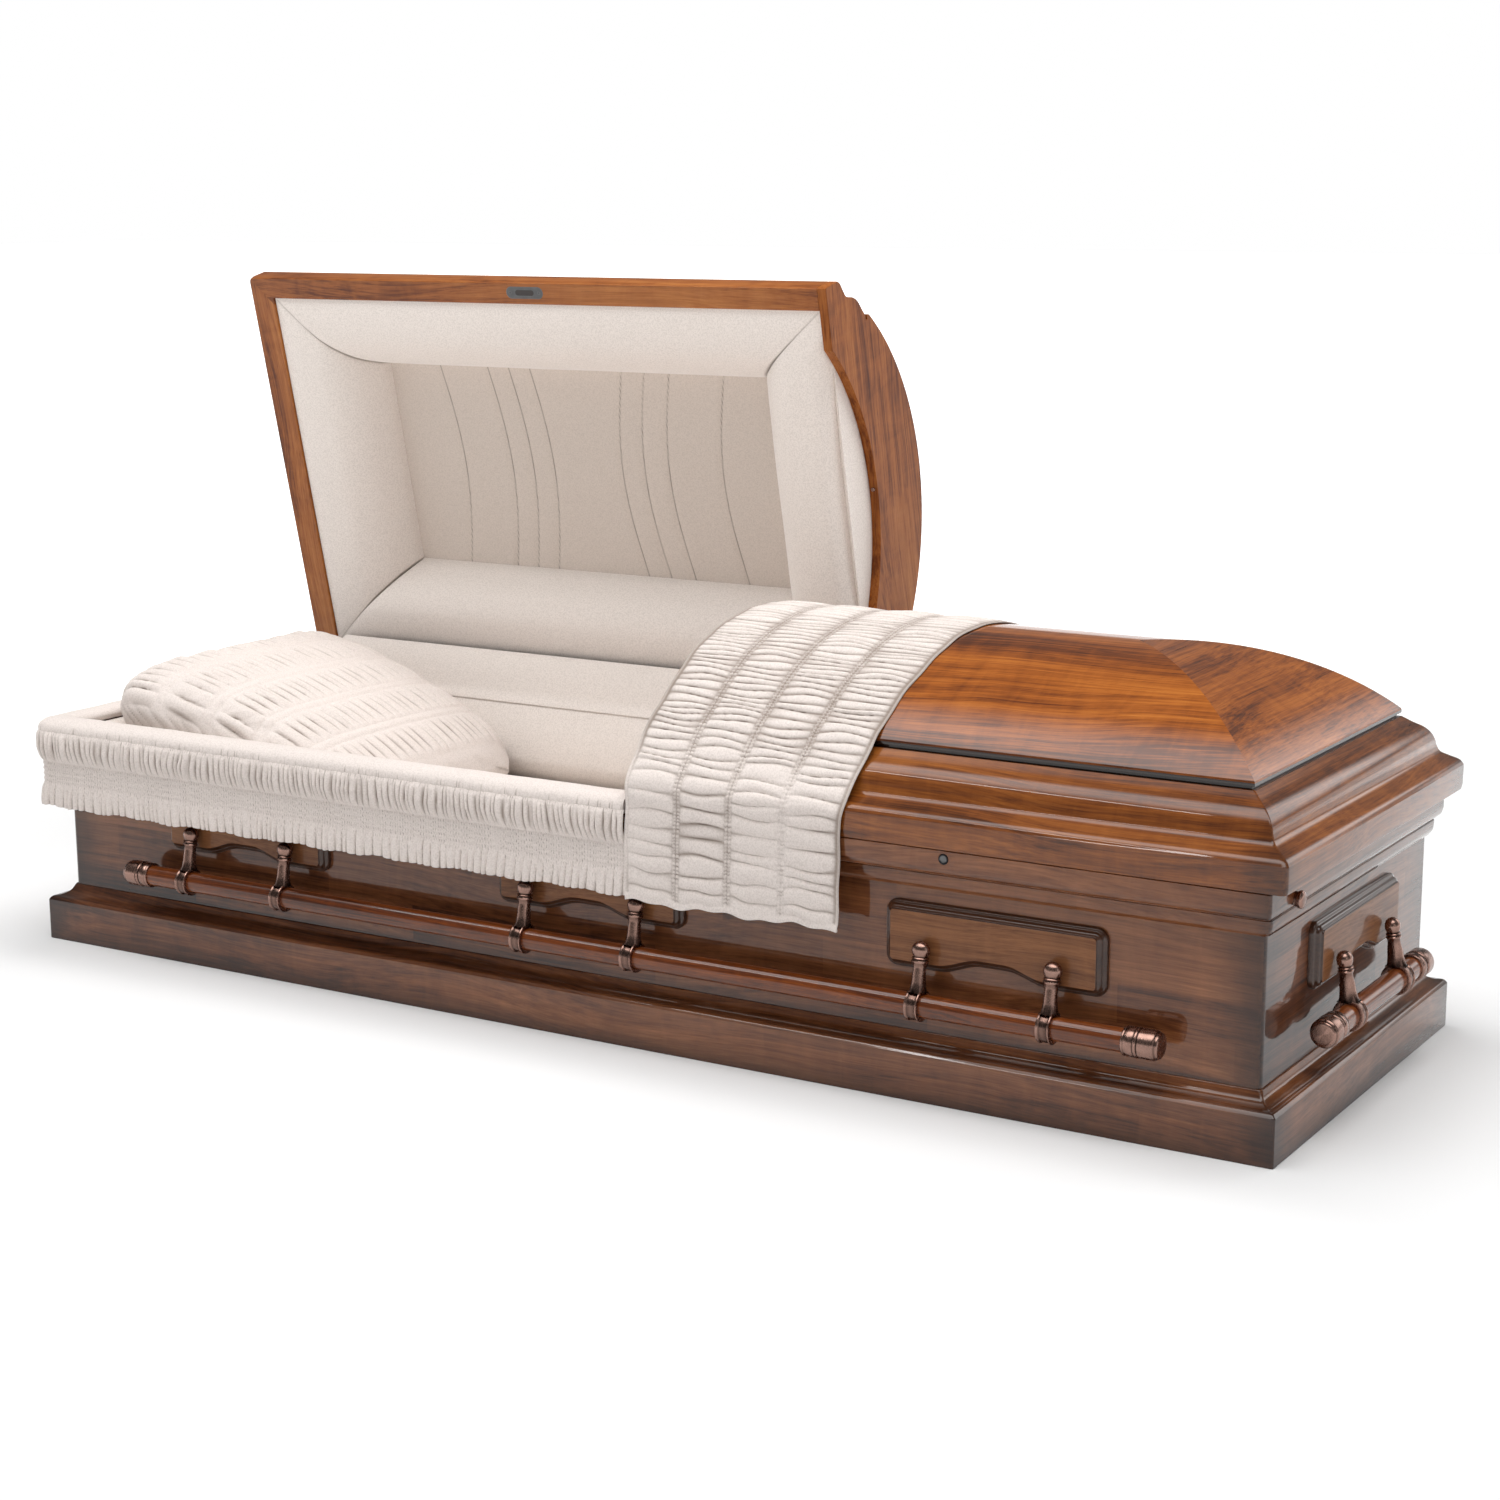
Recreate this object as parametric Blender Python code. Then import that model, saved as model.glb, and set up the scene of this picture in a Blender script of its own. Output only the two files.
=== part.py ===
"""Wooden funeral casket with a two-part lid: the head lid stands open, the foot lid is closed.

Metres, +Z up, +X toward the foot end, +Y toward the hinge side.
The origin is on the ground, at the centre of the base.
"""
import bpy
import bmesh
from math import sin, cos, pi, sqrt, radians
from mathutils import Vector

for o in list(bpy.data.objects):
    bpy.data.objects.remove(o, do_unlink=True)

# Base and box
BASE_X = 1.050            # half length of the base moulding
BASE_Y = 0.3465           # half width of the base moulding
BASE_TOP = 0.089          # height of the base moulding
BODY_IN = 0.032           # how far the box stands in from the base
BODY_TOP = 0.3510         # height of the box
BODY_R = 0.009            # rounding of the box's upright corners
WALL = 0.019              # thickness of the side boards
BOARD = 0.018             # thickness of the bottom board
GAP = 0.0003              # clearance between separate pieces
REST = 0.0006             # clearance under the shut lids

# Rail and bead round the top of the box
RAIL_END = 0.0194         # how far the rail stands out from the box at its ends
RAIL_BACK = 0.0175        # the same at the back, where it leaves room for the hinges
EYE_X = 0.589             # eyelet in the front rail
EYE_DOWN = 0.0110
EYE_R = 0.0072
KNOB_Y = -0.2655          # knob on the rail at the foot end
KNOB_R = 0.0115

# Lid
LID_OUT = 0.0055          # how far the lid's underside stands out past the base
CROWN_IN = 0.0718         # how far the crown's edge stands in from the lid's underside
CROWN_UP = 0.1222         # height of the crown's edge above the lid's underside
CROWN_RISE = 0.1142       # rise of the crown above its edge
CROWN_T = 0.012           # thickness of the crown
SPLIT = 0.0929            # where the two lids meet
SPLIT_GAP = 0.0022        # gap between the two lids
HEADER = 0.0155           # thickness of the arched boards at the split
ARCH_IN = 0.0960          # how far the arch's foot stands in from the lid's underside
ARCH_RISE = 0.0931
OPEN_DEG = 77.5           # how far the head lid is swung open
KNUCKLE_R = 0.0048        # radius of the hinges' knuckles
LATCH_X = -0.4725
LATCH_HALF = 0.0365
LATCH_R = 0.0100

# Handles
PLATE_MID = 0.006         # x of the middle ear plate
PLATE_STEP = 0.643        # distance between ear plates
PLATE_HALF = 0.1604       # half width of an ear plate
PLATE_H = 0.0915
PLATE_DOWN = 0.0825       # from the box's top to the plate's top edge
PLATE_T = 0.017
NOTCH = 0.015             # rise of the plate's lower edge at its middle
DOME_R = 0.0106           # radius of the arm's round head
DOME_GAP = 0.0024         # between that head and the plate
PIVOT_UP = 0.0340         # height of the arm's pivot above the plate's lower edge
ARM_DROP = 0.0730         # from the pivot down to the bar's axis
ARM_LEAN = 0.0105         # from the pivot out to the bar's axis
ARM_WIDE = 1.22           # the arm's width over its depth
ARM_LONG = 1.10           # the length of its round head over its radius
ARM_HALF = 0.0955         # half the distance between the two arms of a plate
BAR_R = 0.0160
BAR_SHIFT = 0.017         # the middle of a side bar from the middle plate
BAR_PAST = 0.236          # how far a side bar runs past the middle of the last plate
END_BAR_MID = -0.008
END_BAR_HALF = 0.200
TIP_OUT = 0.0037          # how far a bar's metal tip stands out
TIP_L = 0.050
RING_OUT = 0.0055         # how far the arm's ring stands out from the bar
RING_W = 0.0190
SIDES = 10                # facets round a bar and round the rings on it

# Soft pieces
BED_IN = 0.0555           # from the box's inner face to the mattress
BED_Z = 0.2050            # top of the mattress
BED_LIFT = 0.0850         # how much higher it is at the head
BED_BEND = 0.4500         # where it starts to rise
LINING_T = 0.0120         # thickness of the padding on the box's walls
SKIRT_BACK = 0.300        # where the skirt stops on the head end
THROW_X0 = 0.0965         # head-side edge of the throw
THROW_X1 = 0.4690         # foot-side edge of the throw on the crown
THROW_T = 0.0045

BODY_X = BASE_X - BODY_IN
BODY_Y = BASE_Y - BODY_IN
IN_X = BODY_X - WALL
IN_Y = BODY_Y - WALL
LID_X = BASE_X + LID_OUT
LID_Y = BASE_Y + LID_OUT
LID_Z = BODY_TOP + REST
HIP = LID_X - LID_Y       # a lid point at |y| = t on the sides is at |x| = t + HIP on the ends
RAIL_F = LID_Y            # the rail's front face is flush with the lid
RAIL_E = BODY_X + RAIL_END
RAIL_B = BODY_Y + RAIL_BACK
SPLIT_HEAD = SPLIT - SPLIT_GAP / 2
SPLIT_FOOT = SPLIT + SPLIT_GAP / 2
HINGE_Y = LID_Y + KNUCKLE_R + 0.0012
HINGE_Z = BODY_TOP + GAP
HINGE = (0.0, HINGE_Y, HINGE_Z)
PLATE_Z1 = BODY_TOP - PLATE_DOWN
PLATE_Z0 = PLATE_Z1 - PLATE_H
PIVOT_OUT = PLATE_T + DOME_GAP + DOME_R
PIVOT_Z = PLATE_Z0 + PIVOT_UP
BAR_OUT = PIVOT_OUT + ARM_LEAN
BAR_Z = PIVOT_Z - ARM_DROP
TIP_R = BAR_R + TIP_OUT
RING_R = BAR_R + RING_OUT
BORE = BAR_R + GAP
BED_X = IN_X - BED_IN
BED_Y = IN_Y - BED_IN


def material(name, rgb, rough, metal=0.0):
    m = bpy.data.materials.new(name)
    m.use_nodes = True
    b = m.node_tree.nodes["Principled BSDF"]
    b.inputs["Base Color"].default_value = (*rgb, 1.0)
    b.inputs["Roughness"].default_value = rough
    b.inputs["Metallic"].default_value = metal
    m.diffuse_color = (*rgb, 1.0)
    return m


WOOD = material("lacquered_wood", (0.20, 0.075, 0.028), 0.12)
PLATE_WOOD = material("plate_wood", (0.32, 0.15, 0.07), 0.35)
BAR_WOOD = material("bar_wood", (0.26, 0.09, 0.03), 0.15)
COPPER = material("aged_copper", (0.30, 0.19, 0.15), 0.30, 1.0)
STEEL = material("dark_steel", (0.22, 0.22, 0.22), 0.35, 1.0)
VELVET = material("cream_velvet", (0.80, 0.74, 0.67), 0.8)
CREPE = material("cream_crepe", (0.82, 0.77, 0.72), 0.8)


def swing(p):
    """Take a point of the shut head lid to where it is with the lid open."""
    a = radians(OPEN_DEG)
    y, z = p[1] - HINGE_Y, p[2] - HINGE_Z
    return (p[0], HINGE_Y + cos(a) * y + sin(a) * z, HINGE_Z - sin(a) * y + cos(a) * z)


def clean(me):
    """Merge doubled points, and split faces that have more than four corners."""
    bm = bmesh.new()
    bm.from_mesh(me)
    bmesh.ops.remove_doubles(bm, verts=bm.verts, dist=1e-6)
    bmesh.ops.dissolve_degenerate(bm, edges=bm.edges, dist=1e-7)
    bmesh.ops.triangulate(bm, faces=[f for f in bm.faces if len(f.verts) > 4])
    bmesh.ops.recalc_face_normals(bm, faces=bm.faces)
    if bm.calc_volume(signed=True) < 0:
        bmesh.ops.reverse_faces(bm, faces=bm.faces)
    bm.to_mesh(me)
    bm.free()


def solid(name, verts, faces, mat, origin=(0, 0, 0), opened=False):
    if opened:
        verts = [swing(v) for v in verts]
    me = bpy.data.meshes.new(name)
    me.from_pydata([tuple(v[i] - origin[i] for i in range(3)) for v in verts], [], faces)
    clean(me)
    me.materials.append(mat)
    o = bpy.data.objects.new(name, me)
    o.location = origin
    bpy.context.scene.collection.objects.link(o)
    return o


def joined(o, other, how):
    """Union or difference of two solids; the second one is used up."""
    m = o.modifiers.new("b", "BOOLEAN")
    m.operation = how
    m.solver = "EXACT"
    m.object = other
    bpy.context.view_layer.update()
    deps = bpy.context.evaluated_depsgraph_get()
    me = bpy.data.meshes.new_from_object(o.evaluated_get(deps))
    o.modifiers.clear()
    old = o.data
    o.data = me
    me.name = o.name
    bpy.data.meshes.remove(old)
    bpy.data.objects.remove(other, do_unlink=True)
    clean(me)
    while len(me.materials) > 1:
        me.materials.pop(index=len(me.materials) - 1)
    return o


def bands(rows, cols, around=True, closed=False):
    """Quads between rows of points; a row may be a loop, and the last row may join the first."""
    wide = cols if around else cols - 1
    return [(j * cols + i, j * cols + (i + 1) % cols,
             (j + 1) % rows * cols + (i + 1) % cols, (j + 1) % rows * cols + i)
            for j in range(rows if closed else rows - 1) for i in range(wide)]


def caps(rows, cols):
    """First and last row as faces."""
    return [tuple(range(cols - 1, -1, -1)), tuple(range((rows - 1) * cols, rows * cols))]


def cheeks(rows, cols):
    """First and last column as faces."""
    return [tuple(j * cols for j in range(rows)), tuple(j * cols + cols - 1 for j in range(rows - 1, -1, -1))]


def flat(rows):
    return [v for row in rows for v in row]


def moved(points, u, v):
    return [(u + a, v + b) for a, b in points]


def prism(name, poly, axis, a, b, mat, origin=(0, 0, 0), opened=False):
    """Extrude a 2-D outline along an axis, from a to b."""
    def put(u, v, w):
        return {"x": (w, u, v), "y": (u, w, v), "z": (u, v, w)}[axis]
    verts = [put(u, v, w) for w in (a, b) for u, v in poly]
    return solid(name, verts, bands(2, len(poly)) + caps(2, len(poly)), mat, origin, opened)


def corner_points(front, end, back, r, n):
    """Plan points of a rectangle with rounded corners, from the foot end's front corner round."""
    pts = []
    for sx, y, start in ((1, -front, -90), (1, back, 0), (-1, back, 90), (-1, -front, 180)):
        cx = sx * (end - r)
        cy = y + r if y < 0 else y - r
        for i in range(n + 1):
            a = radians(start + 90 * i / n)
            pts.append((cx + r * cos(a), cy + r * sin(a)))
    return pts


def ring(name, profile, mat, n=2):
    """Closed frame. Each profile point is (front, end, back, z, corner radius)."""
    rows = [[(x, y, p[3]) for x, y in corner_points(p[0], p[1], p[2], p[4], n)] for p in profile]
    return solid(name, flat(rows), bands(len(rows), len(rows[0]), closed=True), mat)


def same(d, z, r):
    """Profile point of a frame that is d out from the box's faces on every side."""
    return (BODY_Y + d, BODY_X + d, BODY_Y + d, z, r)


# Base: a plain upright face with an ogee above it that ends in a cove. (in from the face, down from the top)
BASE_OGEE = [(0.0, 0.0240), (0.0040, 0.0193), (0.0120, 0.0178), (0.0200, 0.0145), (0.0262, 0.0092)]
ring("base_moulding", [same(BODY_IN, 0.0, 0.003)]
     + [same(BODY_IN - d, BASE_TOP - z, 0.003) for d, z in BASE_OGEE]
     + [same(0.0020, BASE_TOP, 0.008), same(-WALL, BASE_TOP, GAP), same(-WALL, 0.0, GAP)], WOOD)

board_x, board_y = IN_X - GAP, IN_Y - GAP
prism("bottom_board", [(-board_x, -board_y), (board_x, -board_y), (board_x, board_y), (-board_x, board_y)],
      "z", 0.0, BOARD, WOOD)

ring("body_sides", [same(0, BASE_TOP + GAP, BODY_R), same(0, BODY_TOP, BODY_R),
                    same(-WALL, BODY_TOP, 0.002), same(-WALL, BASE_TOP + GAP, 0.002)], WOOD)


def rail(share, down, r=0.006):
    """Profile point at a share of the rail's thickness, and down from its top."""
    return (BODY_Y + share * (RAIL_F - BODY_Y), BODY_X + share * RAIL_END, BODY_Y + share * RAIL_BACK,
            BODY_TOP - down, r)


BEAD = [(0.0045, 0.0625), (0.0092, 0.0525), (0.0100, 0.0430), (0.0085, 0.0410)]
top = ring("top_moulding", [same(GAP, BODY_TOP - 0.0625, BODY_R)]
           + [same(d, BODY_TOP - z, BODY_R) for d, z in BEAD]
           + [rail(0.68, 0.0360), rail(0.89, 0.0318), rail(1.0, 0.0235), rail(1.0, 0.0010), rail(0.96, 0.0)]
           + [same(GAP, BODY_TOP, BODY_R)], WOOD)


def disc(cx, cy, r, n):
    return [(cx + r * cos(2 * pi * i / n), cy + r * sin(2 * pi * i / n)) for i in range(n)]


EYE_Z = BODY_TOP - EYE_DOWN
joined(top, prism("cut", disc(EYE_X, EYE_Z, EYE_R + GAP, 12), "y", -RAIL_F - 0.01, -RAIL_F + 0.012, WOOD),
       "DIFFERENCE")
eye = prism("lock_eyelet", disc(EYE_X, EYE_Z, EYE_R, 12), "y", -RAIL_F - 0.0006, -RAIL_F + 0.0115, STEEL)
joined(eye, prism("cut", disc(EYE_X, EYE_Z, EYE_R - 0.0028, 10), "y", -RAIL_F - 0.01, -RAIL_F + 0.0095, STEEL),
       "DIFFERENCE")

KNOB = [(0, KNOB_R - 0.0015), (0.0035, KNOB_R - 0.0015), (0.0045, KNOB_R), (0.0085, KNOB_R),
        (0.0105, KNOB_R - 0.0020), (0.0112, KNOB_R / 2)]
knob_rows = [[(RAIL_E + GAP + s, KNOB_Y + y, BODY_TOP - 0.0235 + z) for y, z in disc(0, 0, r, 12)]
             for s, r in KNOB]
solid("end_knob", flat(knob_rows), bands(len(KNOB), 12) + caps(len(KNOB), 12), COPPER)

# Lid mouldings. Points are (t, z): t is |y| on the sides and |x| - HIP on the ends.
OGEE = moved([(0.0, 0.0), (0.0016, 0.0084), (0.0020, 0.0364), (-0.0025, 0.0431), (-0.0146, 0.0501),
              (-0.0259, 0.0573), (-0.0301, 0.0661), (-0.0324, 0.0753), (-0.0380, 0.0858), (-0.0458, 0.0940),
              (-0.0573, 0.1014), (-0.0699, 0.1105)], LID_Y, LID_Z)
RIM_IN = moved([(-0.0900, 0.1105), (-0.0900, 0.0959), (-0.0710, 0.0854), (-0.0580, 0.0684), (-0.0520, 0.0434),
                (-0.0350, 0.0284), (-0.0350, 0.0)], LID_Y, LID_Z)
RIM_END_IN = 0.0114       # the end of the rim is this much wider inside
RIM_WIDE = 5              # from this point of RIM_IN on
RIM_R = [0.008, 0.008, 0.008, 0.007, 0.005, 0.004, 0.003, 0.003, 0.002, 0.002, 0.002, 0.002]


def rim(name, split, sign, origin, opened):
    """Three-sided lid frame; sign is +1 for the foot lid and -1 for the head lid."""
    rows = []
    for i, (t, z) in enumerate(OGEE + RIM_IN):
        r = RIM_R[i] if i < len(RIM_R) else 0.001
        te = t - (RIM_END_IN if i >= len(OGEE) + RIM_WIDE else 0.0)
        row = [(split, -t, z)]
        for sy, turns in ((-1, (90, 45, 0)), (1, (0, 45, 90))):
            for a in turns:
                row.append((sign * (te + HIP - r + r * cos(radians(a))), sy * (t - r + r * sin(radians(a))), z))
        rows.append(row + [(split, t, z)])
    m, k = len(rows[0]), len(rows)
    return solid(name, flat(rows), bands(k, m, around=False, closed=True) + cheeks(k, m), WOOD, origin, opened)


CROWN_EDGE = LID_Y - CROWN_IN
CROWN_R = (CROWN_EDGE ** 2 + CROWN_RISE ** 2) / (2 * CROWN_RISE)
CROWN_TOP = LID_Z + CROWN_UP + CROWN_RISE


def crown_z(t, down=0.0):
    """Height of the crown's outer face at t, or of the face that lies down below it."""
    r = CROWN_R - down
    return CROWN_TOP - CROWN_R + sqrt(r * r - t * t)


CROWN_TS = [share * CROWN_EDGE for share in (1.0, 0.935, 0.857, 0.757, 0.650, 0.535, 0.410, 0.278, 0.143, 0.0)]
CROWN_INNER = CROWN_EDGE - 0.0177
CROWN_OUT = moved([(-0.0760, 0.1108), (-0.0760, 0.1152), (-0.0708, 0.1156), (-0.0708, 0.1196)], LID_Y, LID_Z)
CROWN_OUT += [(t, crown_z(t)) for t in CROWN_TS]
CROWN_BACK = [(share * CROWN_INNER, crown_z(share * CROWN_INNER, CROWN_T))
              for share in (0.0, 0.19, 0.38, 0.57, 0.76, 0.895, 1.0)]
CROWN_BACK += [(CROWN_INNER, LID_Z + 0.1108)]


def crown(name, split, sign, origin, opened):
    """Panel that is arched across, with a hipped end; it is open at the split."""
    pts = CROWN_OUT + CROWN_BACK
    verts = []
    for t, z in pts:
        verts += [(split, -t, z), (sign * (HIP + t), -t, z), (sign * (HIP + t), t, z), (split, t, z)]
    n, outer = len(pts), len(CROWN_OUT)
    faces = []
    for k in range(n):
        if k == outer - 1:
            continue
        a, b = 4 * k, 4 * ((k + 1) % n)
        faces += [(a + i, a + i + 1, b + i + 1, b + i) for i in range(3)]
    loop = [4 * k for k in range(outer)] + [4 * k + 3 for k in range(outer - 2, -1, -1)]
    loop += [4 * k + 3 for k in range(n - 1, outer, -1)] + [4 * k for k in range(outer, n)]
    faces.append(tuple(loop))
    return solid(name, verts, faces, WOOD, origin, opened)


ARCH_T = LID_Y - ARCH_IN
ARCH_R = (ARCH_T ** 2 + ARCH_RISE ** 2) / (2 * ARCH_RISE)
ARCH_TOP = LID_Z + ARCH_RISE
HEADER_SIDE = OGEE + moved([(-0.0780, 0.1105), (-0.0780, 0.1156), (-0.0708, 0.1156), (-0.0708, 0.1196)],
                           LID_Y, LID_Z) + [(t, crown_z(t)) for t in CROWN_TS[:-1]]
ARCH_SIDE = [(s * ARCH_T, ARCH_TOP - ARCH_R + sqrt(ARCH_R ** 2 - (s * ARCH_T) ** 2))
             for s in (0.156, 0.3125, 0.469, 0.625, 0.781, 0.898)] + [(ARCH_T, LID_Z)]


def header(name, a, b, origin, opened):
    """Board across the lid at the split, with an arched opening."""
    poly = [(-t, z) for t, z in HEADER_SIDE] + [(0.0, CROWN_TOP)] + HEADER_SIDE[::-1]
    poly += ARCH_SIDE[::-1] + [(0.0, ARCH_TOP)] + [(-t, z) for t, z in ARCH_SIDE]
    return prism(name, poly, "x", a, b, WOOD, origin, opened)


HEAD_IN = SPLIT_HEAD - HEADER        # inner face of the head lid's arched board
FOOT_IN = SPLIT_FOOT + HEADER
head_rim = rim("head_lid_rim", HEAD_IN - GAP, -1, HINGE, True)
crown("head_lid_crown", HEAD_IN - GAP, -1, HINGE, True)
header("head_lid_header", HEAD_IN, SPLIT_HEAD, HINGE, True)
rim("foot_lid_rim", FOOT_IN + GAP, 1, HINGE, False)
crown("foot_lid_crown", FOOT_IN + GAP, 1, HINGE, False)
header("foot_lid_header", SPLIT_FOOT, FOOT_IN, HINGE, False)


def stadium(cx, cy, half, r, n=6):
    pts = [(cx + half - r + r * sin(pi * i / n), cy - r * cos(pi * i / n)) for i in range(n + 1)]
    return pts + [(cx - half + r - r * sin(pi * i / n), cy + r * cos(pi * i / n)) for i in range(n + 1)]


LATCH_Y = 0.0160 - LID_Y
joined(head_rim, prism("cut", stadium(LATCH_X, LATCH_Y, LATCH_HALF + GAP, LATCH_R + GAP), "z",
                       LID_Z - 0.004, LID_Z + 0.0045, WOOD, HINGE, True), "DIFFERENCE")
latch = prism("head_latch_plate", stadium(LATCH_X, LATCH_Y, LATCH_HALF, LATCH_R), "z",
              LID_Z + 0.0004, LID_Z + 0.0042, STEEL, HINGE, True)
joined(latch, prism("cut", stadium(LATCH_X, LATCH_Y, LATCH_HALF / 2, LATCH_R - 0.0055), "z",
                    LID_Z - 0.004, LID_Z + 0.0026, STEEL, HINGE, True), "DIFFERENCE")

# Peg under the arch, as (down from the arch, radius)
PEG = [(0.0011 - GAP, 0.0034), (0.0027, 0.0034), (0.0041, 0.0022), (0.0045, 0.0008)]
peg_rows = [[(x, y, ARCH_TOP - s) for x, y in disc(SPLIT_HEAD - HEADER / 2, -0.004, r, 10)] for s, r in PEG]
solid("head_lid_peg", flat(peg_rows), bands(4, 10) + caps(4, 10), COPPER, HINGE, True)


def hinge(prefix, a, b, count, opened):
    """Long leaves on the rail's back and the lid's back, with knuckles turn about on the axis."""
    hy, hz, k = HINGE_Y, HINGE_Z, KNUCKLE_R
    d = k * sqrt(0.5)
    step = (b - a) / count
    back = RAIL_B + GAP
    under = hz - 0.0026
    lap = hy - k - 0.0020
    leaf = [(back, BODY_TOP - 0.0225), (back + 0.0016, BODY_TOP - 0.0225), (back + 0.0016, hz - k),
            (lap, hz - k), (lap, under), (back, under)]
    body = prism(prefix + "_hinge_body_leaf", leaf, "x", a, b, STEEL, HINGE)
    face = LID_Y + 0.0024
    lid_leaf = [(face, LID_Z + 0.0054), (face + 0.0015, LID_Z + 0.0054), (face + 0.0015, LID_Z + 0.0324),
                (face, LID_Z + 0.0324)]
    lid = prism(prefix + "_hinge_lid_leaf", lid_leaf, "x", a, b, STEEL, HINGE, opened)
    round_part = [(hy, hz - k), (hy + d, hz - d), (hy + k, hz), (hy + d, hz + d), (hy, hz + k)]
    body_knuckle = [(lap - 0.0017, hz - k)] + round_part + [(hy - d, hz + d), (hy - k, hz)]
    body_knuckle += [(hy - k + 0.0008, under), (lap - 0.0017, under)]
    lid_knuckle = [(face, hz + 0.0095), (face, hz + 0.0030), (hy - k, hz), (hy - d, hz - d)] + round_part
    lid_knuckle += [(face + 0.0014, hz + 0.0095)]
    for i in range(count):
        x0, x1 = a + step * i + 0.0004, a + step * (i + 1) - 0.0004
        if i % 2 == 0:
            joined(body, prism("k", body_knuckle, "x", x0, x1, STEEL, HINGE), "UNION")
        else:
            joined(lid, prism("k", lid_knuckle, "x", x0, x1, STEEL, HINGE, opened), "UNION")


hinge("head", -0.93, -0.03, 5, True)
hinge("foot", 0.16, 0.92, 5, False)

# Padded rolls inside the head lid, mitred at the corners; same (t, z) points as the rim
ROLL = moved([(-0.0358, 0.0044), (-0.0480, 0.0019), (-0.0660, 0.0010), (-0.0880, 0.0016), (-0.1090, 0.0054),
              (-0.1290, 0.0174), (-0.1480, 0.0384), (-0.1620, 0.0664), (-0.1690, 0.0864), (-0.1710, 0.1039),
              (-0.0920, 0.1039), (-0.0920, 0.0950), (-0.0725, 0.0840), (-0.0602, 0.0676), (-0.0542, 0.0422),
              (-0.0358, 0.0259)], LID_Y, LID_Z)
ROLL_T0, ROLL_T1 = LID_Y - 0.1710, LID_Y - 0.0358      # inner and outer edges
ROLL_IN = 0.0006                     # from the rolls to the boards
SPLIT_ROLL_W = 0.1758                # width of the roll at the split
MITRE = 0.0002


def roll_x(t, end):
    """x of the mitre at level t, at the head end (end -1) or at the split (+1)."""
    s = min(1.0, (t - ROLL_T0) / (ROLL_T1 - ROLL_T0))
    if end < 0:
        return -(t + HIP - 0.0234 + s * (0.0234 - RIM_END_IN))
    inner = SPLIT_HEAD - SPLIT_ROLL_W
    return inner + s * (HEAD_IN - ROLL_IN - inner)


def roll(name, side, end):
    """Roll along a side (side -1 or +1), or across an end (end -1 or +1)."""
    verts = []
    for t, z in ROLL:
        if side:
            verts += [(roll_x(t, -1) + MITRE, side * t, z), (roll_x(t, 1) - MITRE, side * t, z)]
        else:
            verts += [(roll_x(t, end), -t + MITRE, z), (roll_x(t, end), t - MITRE, z)]
    n = len(ROLL)
    return solid(name, verts, bands(n, 2, around=False, closed=True) + cheeks(n, 2), VELVET, HINGE, True)


roll("head_roll_front", -1, 0)
roll("head_roll_back", 1, 0)
roll("head_roll_end", 0, -1)
roll("head_roll_split", 0, 1)
panel_x, panel_y = LID_X - 0.1005, LID_Y - 0.0925
prism("head_lid_panel", [(-panel_x, -panel_y), (HEAD_IN - ROLL_IN, -panel_y), (HEAD_IN - ROLL_IN, panel_y),
                         (-panel_x, panel_y)], "z", LID_Z + 0.1044, LID_Z + 0.1099, VELVET, HINGE, True)

# Lining of the box: hugs the walls low down and swells inward above the bed. (in from the wall, height)
SWELL = [(LINING_T, BED_Z - 0.0150), (0.0200, BED_Z - 0.0070), (0.0400, BED_Z + 0.0100),
         (0.0500, BED_Z + 0.0270), (0.0520, BED_Z + 0.0400), (0.0500, BODY_TOP - 0.0890),
         (0.0420, BODY_TOP - 0.0610), (0.0300, BODY_TOP - 0.0360), (0.0160, BODY_TOP - 0.0130),
         (0.0060, BODY_TOP - 0.0020)]
FLOOR = BOARD + 0.0005


def inside(d, z):
    return (IN_Y - d, IN_X - d, IN_Y - d, z, 0.004)


ring("body_lining", [inside(0.0005, FLOOR), inside(0.0005, BODY_TOP - 0.0020)]
     + [inside(d, z) for d, z in SWELL[::-1]] + [inside(LINING_T, FLOOR)], VELVET, 1)


def bed_top(x):
    """Height of the bed: flat, and raised under the pillow."""
    return BED_Z + BED_LIFT * min(1.0, max(0.0, (-BED_BEND - x) / (BED_X - BED_BEND)))


def bed():
    rows = []
    for x in (-BED_X, -BED_X + 0.02, -(BED_X + BED_BEND) / 2, -BED_BEND, -BED_BEND + 0.03, BED_X - 0.02, BED_X):
        top_z = bed_top(x) - (0.020 if abs(x) == BED_X else 0.0)
        side = [(BED_Y, FLOOR), (BED_Y, top_z - 0.020), (BED_Y - 0.006, top_z - 0.006), (BED_Y - 0.020, top_z)]
        rows.append([(x, -y, z) for y, z in side] + [(x, y, z) for y, z in side[::-1]])
    k, m = len(rows), len(rows[0])
    return solid("mattress", flat(rows), bands(k, m) + caps(k, m), VELVET)


bed()

# Pillow stations: in from the box's end, in from its sides, bottom above the bed, top above the box's top
PILLOW = [(0.025, 0.1455, 0.062, 0.053), (0.033, 0.0555, 0.032, 0.075), (0.059, 0.0295, 0.011, 0.088),
          (0.119, 0.0255, 0.005, 0.081), (0.219, 0.0335, 0.005, 0.055), (0.319, 0.0455, 0.005, 0.017),
          (0.409, 0.0575, 0.005, -0.027), (0.474, 0.0735, 0.005, -0.071), (0.504, 0.1055, 0.006, -0.103)]
SECTION = [(0.0, 0.0), (0.55, 0.0), (0.84, 0.10), (0.98, 0.36), (1.0, 0.62), (0.92, 0.84), (0.66, 0.955),
           (0.34, 0.99), (0.0, 1.0)]


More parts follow.
